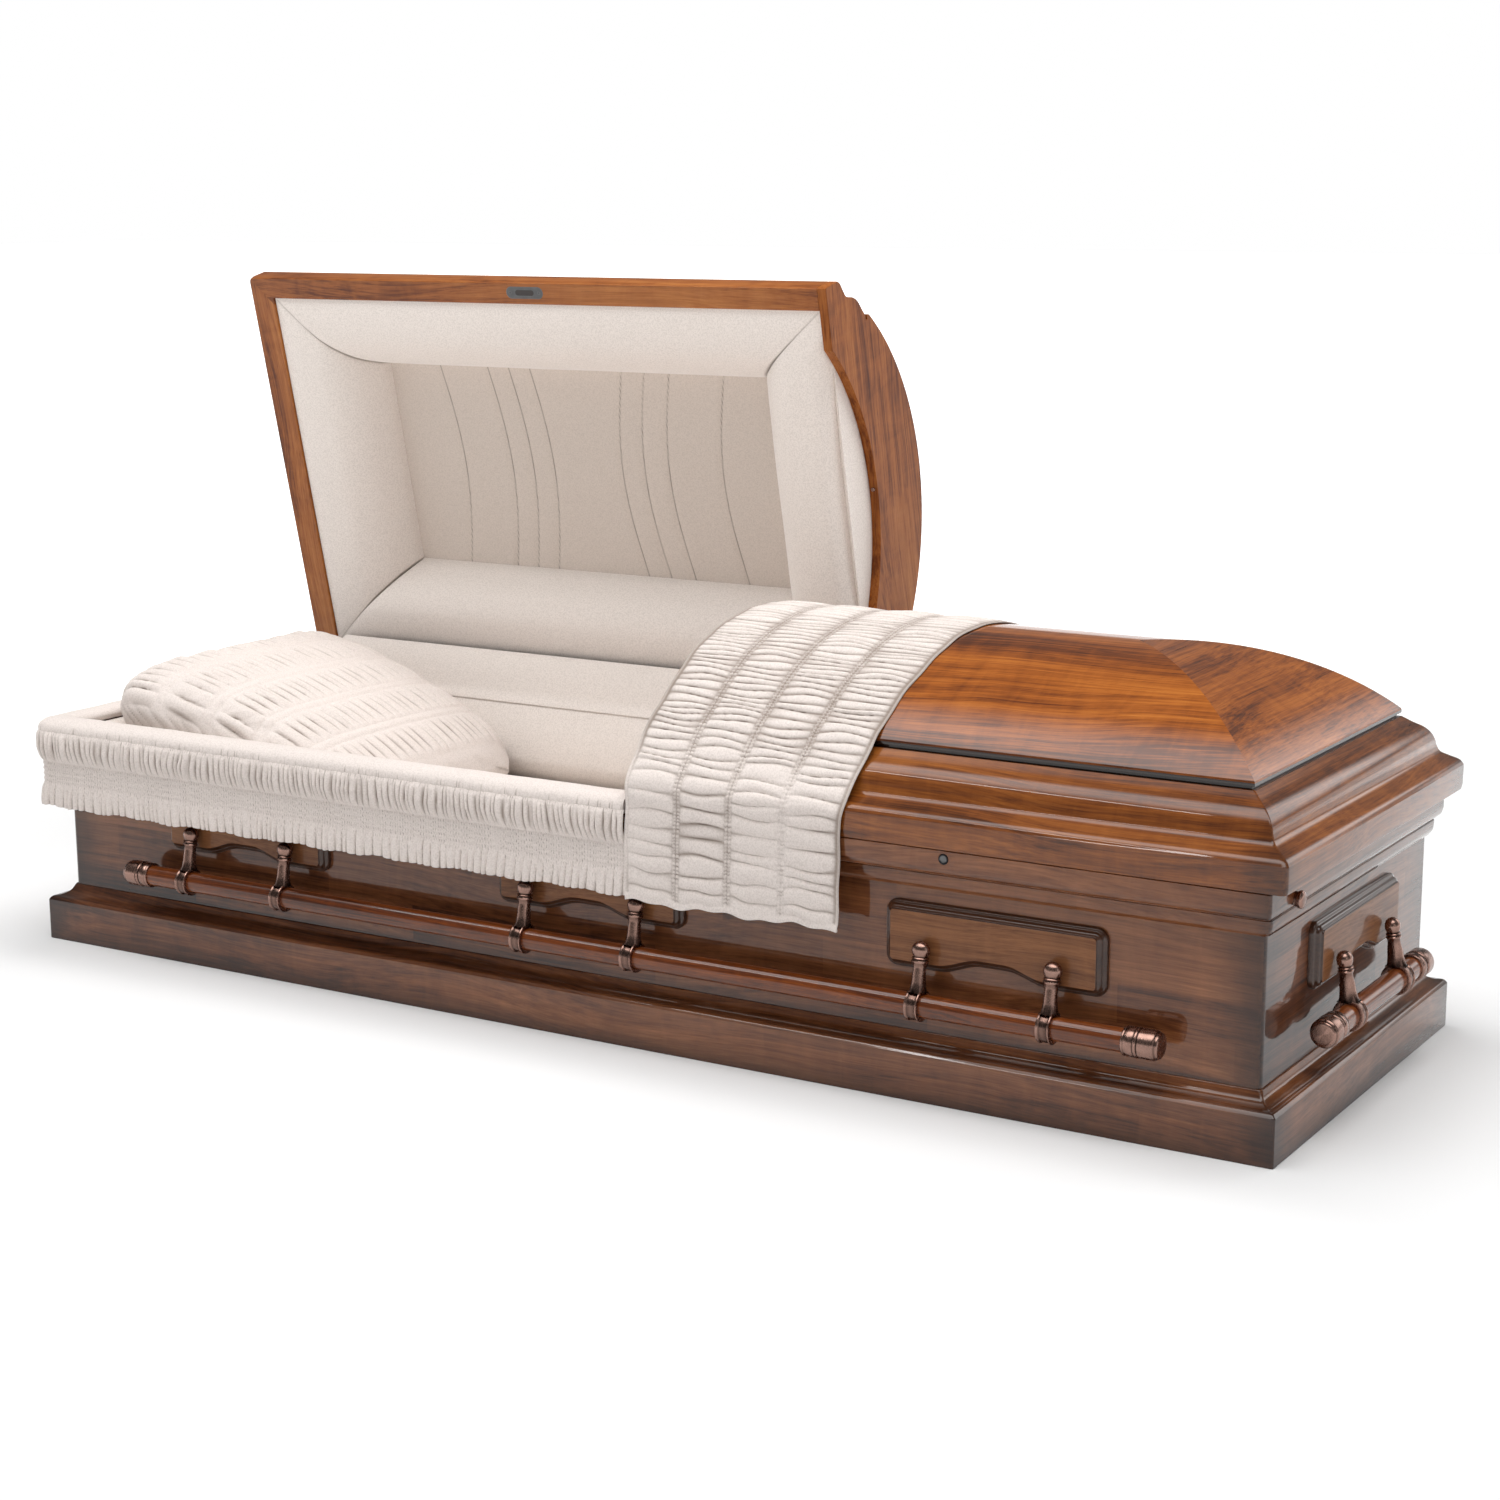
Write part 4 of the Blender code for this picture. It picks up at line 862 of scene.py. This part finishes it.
def stations(step, past):
    start, stop = SPLIT_HEAD + past, -RAIL_E + 0.014
    front = [("front", x) for x in np.linspace(start, stop, int((start - stop) / step))]
    turn = [("turn", q) for q in np.linspace(0, 1, int(0.036 / step) + 2)[1:-1]]
    y0 = -RAIL_F + 0.014
    end = [("end", y) for y in np.linspace(y0, SKIRT_BACK, int((SKIRT_BACK - y0) / step))]
    return front + turn + end


def along(ats):
    out = []
    start, stop = SPLIT_HEAD, -RAIL_E + 0.014
    for kind, value in ats:
        if kind == "front":
            out.append(start - value)
        elif kind == "turn":
            out.append(start - stop + 0.036 * value)
        else:
            out.append(start - stop + 0.036 + value + RAIL_F - 0.014)
    return np.array(out)


SKIRT_OUT = table("1.5 11.2, 6 11.2, 16 11.4, 29 11.6, 43 8.5, 51 5.6, 54 5, 83 5, 99 7, 123 8.5")


def skirt():
    ats = stations(0.0013, 0.0034)
    s = along(ats)
    downs = np.concatenate([np.linspace(0.0015, 0.05, 20), np.linspace(0.052, 0.085, 17),
        np.linspace(0.088, 0.124, 14)])
    known_down, known_out = zip(*SKIRT_OUT)
    rng = np.random.default_rng(11)
    S, D = np.meshgrid(s, downs, indexing="xy")
    out = np.interp(D, known_down, known_out)
    lean = 0.05 * np.sin(S * 5.1 + 0.7) + 0.04 * np.sin(S * 13.0)
    slip = (D - 0.03) * lean + 0.0012 * np.sin(S * 40 + D * 90)
    bulge = gathers(S + slip, rng, 0.0108, 0.45, 0.5)
    wide = gathers(S + 1.6 * slip + 0.0014 * np.sin(D * 120 + S * 9), rng, 0.024, 0.5, 0.3)
    pinch = gathers(S, rng, 0.0048, 0.25, 0.7)
    ribs = gathers(S + 0.0006 * np.sin(D * 600 + S * 20), rng, 0.0046, 0.22, 0.7)
    ruffle = gathers(S - (D - 0.085) * lean * 1.5, rng, 0.0138, 0.45, 0.45)
    q1 = np.clip((D - 0.004) / 0.047, 0, 1)
    top = np.sin(pi * q1) ** 0.35
    h1 = top * (0.005 * bulge + 0.005 * wide) + (1 - top) * 0.0024 * pinch
    rows = 0.5 - 0.5 * np.cos(2 * pi * (D - 0.0515) / 0.0085)
    h2 = 0.0024 * ribs * (0.45 + 0.55 * rows) + 0.0006 * rows
    q3 = np.clip((D - 0.085) / 0.038, 0, 1)
    h3 = 0.002 * ribs * (1 - q3) + (0.0014 + 0.0056 * q3 ** 0.8 - 0.0026 * q3 ** 6) * ruffle * smooth(D,
        0.085, 0.095)
    w1 = fade(D, 0.049, 0.053)
    w3 = smooth(D, 0.0835, 0.088)
    h = w1 * h1 + (1 - w1) * (1 - w3) * h2 + w3 * h3
    cuff = fade(D, 0.002, 0.0045)
    h = h * (1 - cuff) + cuff * 0.0004 * pinch
    hem = smooth(D, 0.095, 0.124) * (0.001 * (ruffle - 0.5) + 0.0024 * np.sin(S * 23 + 1) * np.sin(S * 61))
    down = D + hem
    grid = np.array([[round_box(out[j, i] + h[j, i] - 0.0012, BODY_TOP - down[j, i], ats[i])
        for i in range(len(ats))] for j in range(len(downs))])
    under = np.array([[round_box(out[-1, i] + h[-1, i] - 0.004, BODY_TOP - down[-1, i] - 0.0002, ats[i])
        for i in range(len(ats))]])
    top_edge = np.array([[round_box(0.0084, BODY_TOP - 0.001, at) for at in ats]])
    grid = np.concatenate([top_edge, grid, under], axis=0)
    # Painted shade in the creases of the gathers, ribs and ruffle
    shade = w1 * (top * bulge * (0.62 + 0.38 * wide) + (1 - top) * pinch) + (1 - w1) * (1 - w3) * ribs
    shade = shade + w3 * ((1 - q3) * ribs + q3 * ruffle)
    fold = np.pad(np.clip(shade / 0.62, 0, 1), ((1, 1), (0, 0)), mode="edge")
    o = grid_piece("skirt_cloth", grid[:, ::-1], "crepe", "sheet", closed=False, angle=75, fold=fold[:, ::-1])


def skirt_roll():
    ats = stations(0.0022, 0.0012)
    s = along(ats)
    section = table("8 -6.8, 10.4 -3, 10.6 2, 7.8 9, -1.5 15.8, -14 18.5, -28 17.6, -38 13.6, -42.2 7.5,"
        "-40 0.8, 0.6 0.8, 1 -6.6")
    section = curve(section, sharp=(9, 10), per=3)
    centre = np.array([-0.015, 0.004])
    rng = np.random.default_rng(5)
    tiny = gathers(s, rng, 0.0062, 0.35, 0.5)
    lumps = drift(rng, s, 0.0006, 32, 20, 90)
    grid, fold = [], []
    for j, (d, z) in enumerate(section):
        front = smooth(np.array(-d), 0.004, -0.008) * smooth(np.array(z), 0.016, 0.002)
        loose = smooth(np.array(z), 0.004, 0.012)
        push = (tiny - 0.6) * 0.002 * float(front) + (lumps + (tiny - 0.5) * 0.0003) * float(loose)
        away = np.array([d, z]) - centre
        away = away / np.linalg.norm(away)
        grid.append([round_box(d + away[0] * p, BODY_TOP + z + away[1] * p, at) for p, at in zip(push, ats)])
        # Painted shade in the puckers' creases at the roll's front
        fold.append(1 - 0.8 * float(front) * (1 - np.clip(tiny / 0.5, 0, 1)))
    o = grid_piece("skirt_roll_pad", grid, "crepe", form="rail", angle=75, fold=np.array(fold))
    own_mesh(o)


skirt()
skirt_roll()


def applied(o):
    deps = bpy.context.evaluated_depsgraph_get()
    me = bpy.data.meshes.new_from_object(o.evaluated_get(deps))
    o.modifiers.clear()
    old, o.data = o.data, me
    bpy.data.meshes.remove(old)


def swollen(verts, faces, voxel, pressure, cap, frames=20):
    """Points, faces and normals of a form, remeshed and blown up a little by a cloth simulation."""
    o = linked("swollen", mesh_of("swollen", verts, faces))
    given(o.modifiers.new("r", "REMESH"), mode="VOXEL", voxel_size=voxel)
    applied(o)
    before = np.array([v.co for v in o.data.vertices])
    m = o.modifiers.new("c", "CLOTH")
    given(m.settings, use_pressure=True, uniform_pressure_force=pressure, quality=5, tension_stiffness=12,
        bending_stiffness=0.6)
    m.settings.effector_weights.gravity = 0.0
    scene = bpy.context.scene
    for f in range(1, frames + 1):
        scene.frame_set(f)
    applied(o)
    scene.frame_set(1)
    after = np.array([v.co for v in o.data.vertices])
    move = after - before
    far = np.linalg.norm(move, axis=1)[:, None]
    move *= np.minimum(1.0, cap / np.maximum(far, 1e-9))
    o.data.vertices.foreach_set("co", (before + move).ravel())
    given(o.modifiers.new("s", "SUBSURF"), levels=1, render_levels=1)
    applied(o)
    points = np.array([v.co for v in o.data.vertices])
    polys = [list(p.vertices) for p in o.data.polygons]
    normals = np.array([v.normal for v in o.data.vertices])
    old = o.data
    bpy.data.objects.remove(o, do_unlink=True)
    bpy.data.meshes.remove(old)
    return points, polys, normals


def bed_top(x):
    return BED_Z + BED_LIFT * np.clip((-BED_BEND - x) / (BED_X - BED_BEND), 0.0, 1.0)


PILLOW = table("25 145.5 62 53, 33 55.5 32 75, 59 29.5 11 88, 119 25.5 5 81, 219 33.5 5 55,"
    "319 45.5 5 17, 409 57.5 5 -27, 474 73.5 5 -71, 504 105.5 6 -103")
SECTION = table("0 0, 0.55 0, 0.84 0.1, 0.98 0.36, 1 0.62, 0.92 0.84, 0.66 0.955, 0.34 0.99, 0 1", 1)
PILLOW_BANDS = table("-962 -880, -864 -786, -770 -696, -680 -610, -594 -530")


def pillow():
    rings = curve([(end - IN_X, IN_Y - side, float(bed_top(end - IN_X)) + up, BODY_TOP + over)
        for end, side, up, over in PILLOW], per=4)
    shape = curve(SECTION, per=3)
    shrink = 0.003
    grid = []
    for x, w, low, high in rings:
        x = x + (-0.008 if x < -0.9 else (-0.006 if x > -0.53 else 0.0))
        w, low, high = w - shrink, low + 0.001, high + 0.004
        half = [(w * a, low + (high - low) * b) for a, b in shape]
        grid.append([(x, y, z) for y, z in half] + [(x, -y, z) for y, z in half[-2:0:-1]])
    grid = np.array(grid)
    p, polys, nrm = swollen(grid.reshape(-1, 3), tube_faces(*grid.shape[:2]), 0.0062, 3.0, 0.007)
    x, y = p[:, 0], p[:, 1]
    up = smooth(nrm[:, 2], 0.0, 0.45)
    rng = np.random.default_rng(3)
    h = np.zeros(len(p))
    fold = np.ones(len(p))
    for a, b in PILLOW_BANDS:
        w = (x - a) / (b - a)
        lens = np.where((w > 0) & (w < 1), np.sin(pi * np.clip(w, 0, 1)) ** 0.6, 0.0)
        bow = 0.05 * (x - (a + b) / 2) * np.sin(y * 9) + 0.003 * np.sin(y * 40 + a * 50)
        wave = gathers(y + bow, rng, 0.0185, 0.4, 0.55)
        h += lens * (0.0074 * wave - 0.003)
        # Painted shade in the creases of the bands on top
        fold = np.minimum(fold, 1 - lens * up * (1 - np.clip(wave / 0.62, 0, 1)))
    for a, b in zip([c[1] for c in PILLOW_BANDS[:-1]], [c[0] for c in PILLOW_BANDS[1:]]):
        mid = (a + b) / 2
        fine = gathers(y, rng, 0.0075, 0.3, 0.5)
        strip = bell(x - mid, 0.006)
        h += strip * (0.0012 * fine)
        for e in (a, b):
            h -= 0.0012 * bell(x - e, 0.0022)
    side_on = 1 - up
    edge = gathers(x * 0.9 + y * 0.35 + p[:, 2], rng, 0.022, 0.4, 0.3)
    h = h * up + side_on * 0.003 * edge * smooth(np.abs(nrm[:, 1]) + np.abs(nrm[:, 0]), 0.3, 0.8)
    p = p + nrm * h[:, None]
    p[:, 2] = np.maximum(p[:, 2], bed_top(p[:, 0]) + 0.0012)
    # Painted shade in the creases on the pillow's sides
    fold = np.minimum(fold, 1 - 0.8 * side_on * (1 - np.clip(edge / 0.5, 0, 1)))
    o = piece("pillow_pad", p, polys, "crepe", angle=75, fold=fold)
    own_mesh(o)


pillow()

# Rolls and panel inside the head lid, in the shut lid's coordinates
ROLL = table("-35.8 4.4, -48 1.9, -66 1, -88 1.6, -109 5.4, -129 17.4, -148 38.4, -162 66.4, -169 86.4,"
    "-171 103.9, -92 103.9, -92 95, -72.5 84, -60.2 67.6, -54.2 42.2, -35.8 25.9")
ROLL_LINE = curve([(LID_Y + t, LID_Z + z) for t, z in ROLL[:10]],
    per=4) + [np.array((LID_Y + t, LID_Z + z)) for t, z in ROLL[10:]]
ROLL_T0, ROLL_T1 = LID_Y - 0.171, LID_Y - 0.0358


def roll_x(t, end):
    s = min(1.0, (t - ROLL_T0) / (ROLL_T1 - ROLL_T0))
    if end < 0:
        return -(t + HIP - 0.0234 + s * (0.0234 - 0.0114))
    inner = SPLIT_HEAD - 0.1758
    return inner + s * (HEAD_IN - 0.0006 - inner)


def roll(name, side, end):
    line = np.array(ROLL_LINE)
    visible = 4 * 9 + 1
    tangent = np.gradient(line, axis=0)
    normal = np.stack([tangent[:, 1], -tangent[:, 0]], -1)
    normal /= np.linalg.norm(normal, axis=1)[:, None]
    if normal[12, 1] > 0:
        normal = -normal
    seam_shade = []
    share = np.concatenate([np.linspace(0, 0.06, 9)[:-1], np.linspace(0.06, 0.94, 42),
        np.linspace(0.94, 1, 9)[1:]])
    grid = []
    for j, (t, z) in enumerate(line):
        a, b = (roll_x(t, -1), roll_x(t, 1)) if side else (-t, t)
        a, b = a + 0.0002, b - 0.0002
        u = a + (b - a) * share
        far = np.minimum(u - a, b - u)
        fill = 0.0
        if 0 < j < visible - 1:
            puff = sin(pi * j / (visible - 1)) ** 0.5
            fill = (-0.0014 * np.exp(-far / 0.004) - 0.0012 * np.exp(-far / 0.03)) * puff
            fill = fill + 0.0005 * puff * np.sin(u * 21 + j * 0.1) * np.sin(u * 7.7 + 2)
        tt, zz = t + normal[j, 0] * fill, z + normal[j, 1] * fill
        ones = np.ones_like(u)
        # Painted shade along the mitre seams
        seam_shade.append(1 - 0.5 * bell(far, 0.0018) if 0 < j < visible - 1 else ones)
        if not side and end > 0 and j < visible:
            over = min(1.0, max(0.0, (roll_x(t, 1) - 0.0405) / 0.0352))
            arch = ARCH_TOP - ARCH_R + np.sqrt(np.maximum(0.0, ARCH_R ** 2 - u ** 2)) - LID_Z + 0.008
            zz = zz + np.maximum(0.0, arch) * (1 - sqrt(1 - over ** 2))
        if side:
            grid.append(np.stack([u, side * tt * ones, zz * ones], -1))
        else:
            grid.append(np.stack([[roll_x(min(max(k, ROLL_T0), ROLL_T1), end) for k in tt * ones], u,
                zz * ones], -1))
    o = grid_piece(name + "_pad", np.array(grid), "velvet", form="rail", body="head_lid", angle=50,
        fold=np.array(seam_shade))


roll("head_roll_front", -1, 0)
roll("head_roll_back", 1, 0)
roll("head_roll_end", 0, -1)
roll("head_roll_split", 0, 1)


def lid_panel():
    x0, x1, y0 = -(LID_X - 0.1005), HEAD_IN - 0.0006, LID_Y - 0.0925
    x = np.linspace(x0, x1, 470)
    y = np.linspace(-y0, y0, 46)
    X, Y = np.meshgrid(x, y, indexing="xy")
    mid = np.cos(pi * np.clip(Y / 0.181, -1, 1) / 2)
    lines = [at + 0.022 * mid for at in (-0.755, -0.654, -0.61, -0.566)]
    lines += [at - 0.025 * mid for at in (-0.378, -0.333, -0.284, -0.178)]
    near = np.min([np.abs(X - c) for c in lines], axis=0)
    lift = 0.0026 * np.clip(near / 0.012, 0, 1) ** 0.5 - 0.0004
    z_face = LID_Z + 0.1044
    face = np.stack([X, Y, z_face + 0.0012 - lift], -1)
    back = np.stack([X[::45], Y[::45], np.full_like(X[::45], LID_Z + 0.1099)], -1)
    grid = np.concatenate([face, back[::-1]], axis=0)
    # Painted shade in the grooves of the panel's seam lines
    fold = np.ones(grid.shape[:2])
    fold[:len(face)] = np.clip(near / 0.0026, 0, 1)
    o = grid_piece("head_lid_panel_pad", grid, "panel", form="rail", body="head_lid", angle=50, fold=fold)


lid_panel()


def lining():
    def inside(d, z, r=0.004):
        return (IN_Y - d, IN_X - d, IN_Y - d, z, r)
    swell = curve([inside(d, z, r) for d, z, r in ((0.006, BODY_TOP - 0.002, 0.004),
        (0.016, BODY_TOP - 0.013, 0.006), (0.03, BODY_TOP - 0.036, 0.01), (0.042, BODY_TOP - 0.061, 0.016),
        (0.05, BODY_TOP - 0.089, 0.02), (0.052, BED_Z + 0.04, 0.02), (0.05, BED_Z + 0.027, 0.018),
        (0.04, BED_Z + 0.01, 0.012), (0.02, BED_Z - 0.007, 0.006), (0.012, BED_Z - 0.015, 0.004))], per=4)
    o = frame_piece("body_lining_pad",
        [inside(0.0005, FLOOR), inside(0.0005, BODY_TOP - 0.002)] + swell + [inside(0.012, FLOOR)], "velvet",
        angle=50)


def mattress():
    xs = np.concatenate([[-BED_X, -BED_X + 0.004, -BED_X + 0.012, -BED_X + 0.03],
        np.linspace(-BED_X + 0.05, BED_X - 0.05, 110), [BED_X - 0.03, BED_X - 0.012, BED_X - 0.004, BED_X]])
    rng = np.random.default_rng(9)
    grid = []
    for x in xs:
        near = min(1.0, (BED_X - abs(x)) / 0.02)
        top = float(bed_top(x)) - 0.02 * (1 - sqrt(max(0.0, 1 - (1 - near) ** 2)))
        side = [(BED_Y, FLOOR), (BED_Y + 0.0005, top - 0.06), (BED_Y, top - 0.024),
            (BED_Y - 0.0022, top - 0.014), (BED_Y - 0.0068, top - 0.0065), (BED_Y - 0.0135, top - 0.0018),
            (BED_Y - 0.022, top)]
        side += [(y, top) for y in (0.2, 0.17, 0.14, 0.11, 0.08, 0.05, 0.02)]
        row = [(x, -y, z) for y, z in side] + [(x, y, z) for y, z in side[::-1]]
        grid.append(row)
    grid = np.array(grid)
    X, Y = grid[:, :, 0], grid[:, :, 1]
    flat = smooth(BED_Y - np.abs(Y), 0.02, 0.06) * smooth(BED_X - np.abs(X), 0.02, 0.08)
    soft = np.sin(X * 13 + 1) * np.sin(Y * 17 + 0.4) + 0.5 * np.sin(X * 31 + Y * 9)
    grid[:, :, 2] -= flat * 0.001 * (1.0 + soft)
    o = grid_piece("mattress_pad", grid, "velvet", angle=50)


def hinge_cover():
    outer = curve(table("-77.4 -17, -74.6 -12.2, -67 -3, -60 11, -51.5 27.5, -39 44.4, -27 54.4, -17 58.4"),
        per=4)
    inner = curve(table("-15.8 54.4, -24 50.4, -36 39.9, -47.5 24.4, -55.5 9.9, -59 -0.1, -65 -6,"
        "-73.5 -16.5"),
        per=3)
    xs = np.linspace(0.024 - IN_X, SPLIT_HEAD - 0.0038, 150)
    grid = []
    for k, (t, z) in enumerate(outer + inner):
        w = sin(pi * min(1.0, k / len(outer))) if k < len(outer) else 0.0
        ease = 0.0008 * w * (np.sin(xs * 17 + 1) * np.sin(xs * 5.3))
        grid.append(np.stack([xs, LID_Y + t - ease, LID_Z + z + ease], -1))
    o = grid_piece("hinge_cover_cloth", np.array(grid), "velvet", form="rail", angle=50)
    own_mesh(o)


lining()
mattress()
hinge_cover()

# CAD nodes that stay get their finishes
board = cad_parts["bottom_board"].data
board.materials.clear()
board.materials.append(LOOKS["inside_wood"])
for name in ("head_hinge_lid_leaf", "head_hinge_body_leaf", "foot_hinge_lid_leaf", "foot_hinge_body_leaf"):
    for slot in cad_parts[name].material_slots:
        slot.material = LOOKS["steel"]

# Floor, lights and camera
floor = linked("floor", mesh_of("floor", [(-40, -40, 0), (40, -40, 0), (40, 40, 0), (-40, 40, 0)],
    [(0, 1, 2, 3)]))
n = new_finish("floor_finish")
fx, fy = n.split(n.place)[:2]
far = n.math("SQRT", n.plus(n.mul(fx, fx), n.mul(fy, fy)))
glow = n.step(far, 1.3, 4.5, 0.02, 0.8)
n.set(Base_Color=(0.76, 0.76, 0.76, 1.0), Roughness=0.9, Specular_IOR_Level=0.1,
    Emission_Color=(1.0, 1.0, 1.0, 1.0), Emission_Strength=glow)
floor.data.materials.append(n.material)

world = bpy.data.worlds.new("studio")
bpy.context.scene.world = world
world.use_nodes = True
w = Nodes(world.node_tree)
sky = w.tree.nodes["Background"]
wx, wy, wz = w.split(w.add("ShaderNodeTexCoord").outputs["Generated"])
horizon = w.step(wz, 0.17, 0.11)
over = w.mul(w.step(wz, 0.7, 0.88), w.step(wy, 0.2, -0.1))
behind = w.mul(w.step(wz, 0.15, 0.3), w.step(wz, 0.75, 0.55))
behind = w.mul(behind, w.mul(w.step(wy, 0.55, 0.75), w.step(wx, 0.06, 0.26)))
light = w.plus(w.mul(over, 3.4), w.mul(behind, 2.0))
light = w.plus(w.plus(light, 0.14), w.mul(horizon, 0.86))
w.put(sky.inputs[0], w.join(light, light, light))


def softbox(name, at, to, wide, high, power):
    light = given(bpy.data.lights.new(name, "AREA"), shape="RECTANGLE", size=wide, size_y=high, energy=power)
    o = linked(name, light)
    o.location = at
    o.rotation_euler = (Vector(to) - Vector(at)).to_track_quat("-Z", "Y").to_euler()
    return o


top = softbox("top_softbox", (0.2, 0.4, 3.3), (0.1, 0.0, 0.0), 3.2, 1.0, 60)
top.visible_glossy = False
softbox("strip_softbox", (-1.3, -1.9, 3.0), (0.0, 0.0, 0.3), 3.2, 0.1, 12)
softbox("right_softbox", (4.2, -1.4, 1.8), (0.8, 0.0, 0.3), 1.4, 1.4, 5)

cam = linked("camera", given(bpy.data.cameras.new("camera"), lens=65.73, sensor_width=36.0))
right = Vector((0.85308, 0.52177, -0.00435))
up = Vector((-0.10256, 0.17583, 0.97906))
forward = Vector((-0.51161, 0.83477, -0.20351))
cam.matrix_world = Matrix(((right.x, up.x, -forward.x, 2.182), (right.y, up.y, -forward.y, -3.431),
    (right.z, up.z, -forward.z, 1.205), (0, 0, 0, 1)))
bpy.context.scene.camera = cam
given(bpy.context.scene.view_settings, view_transform="Standard", look="None", exposure=0.0)
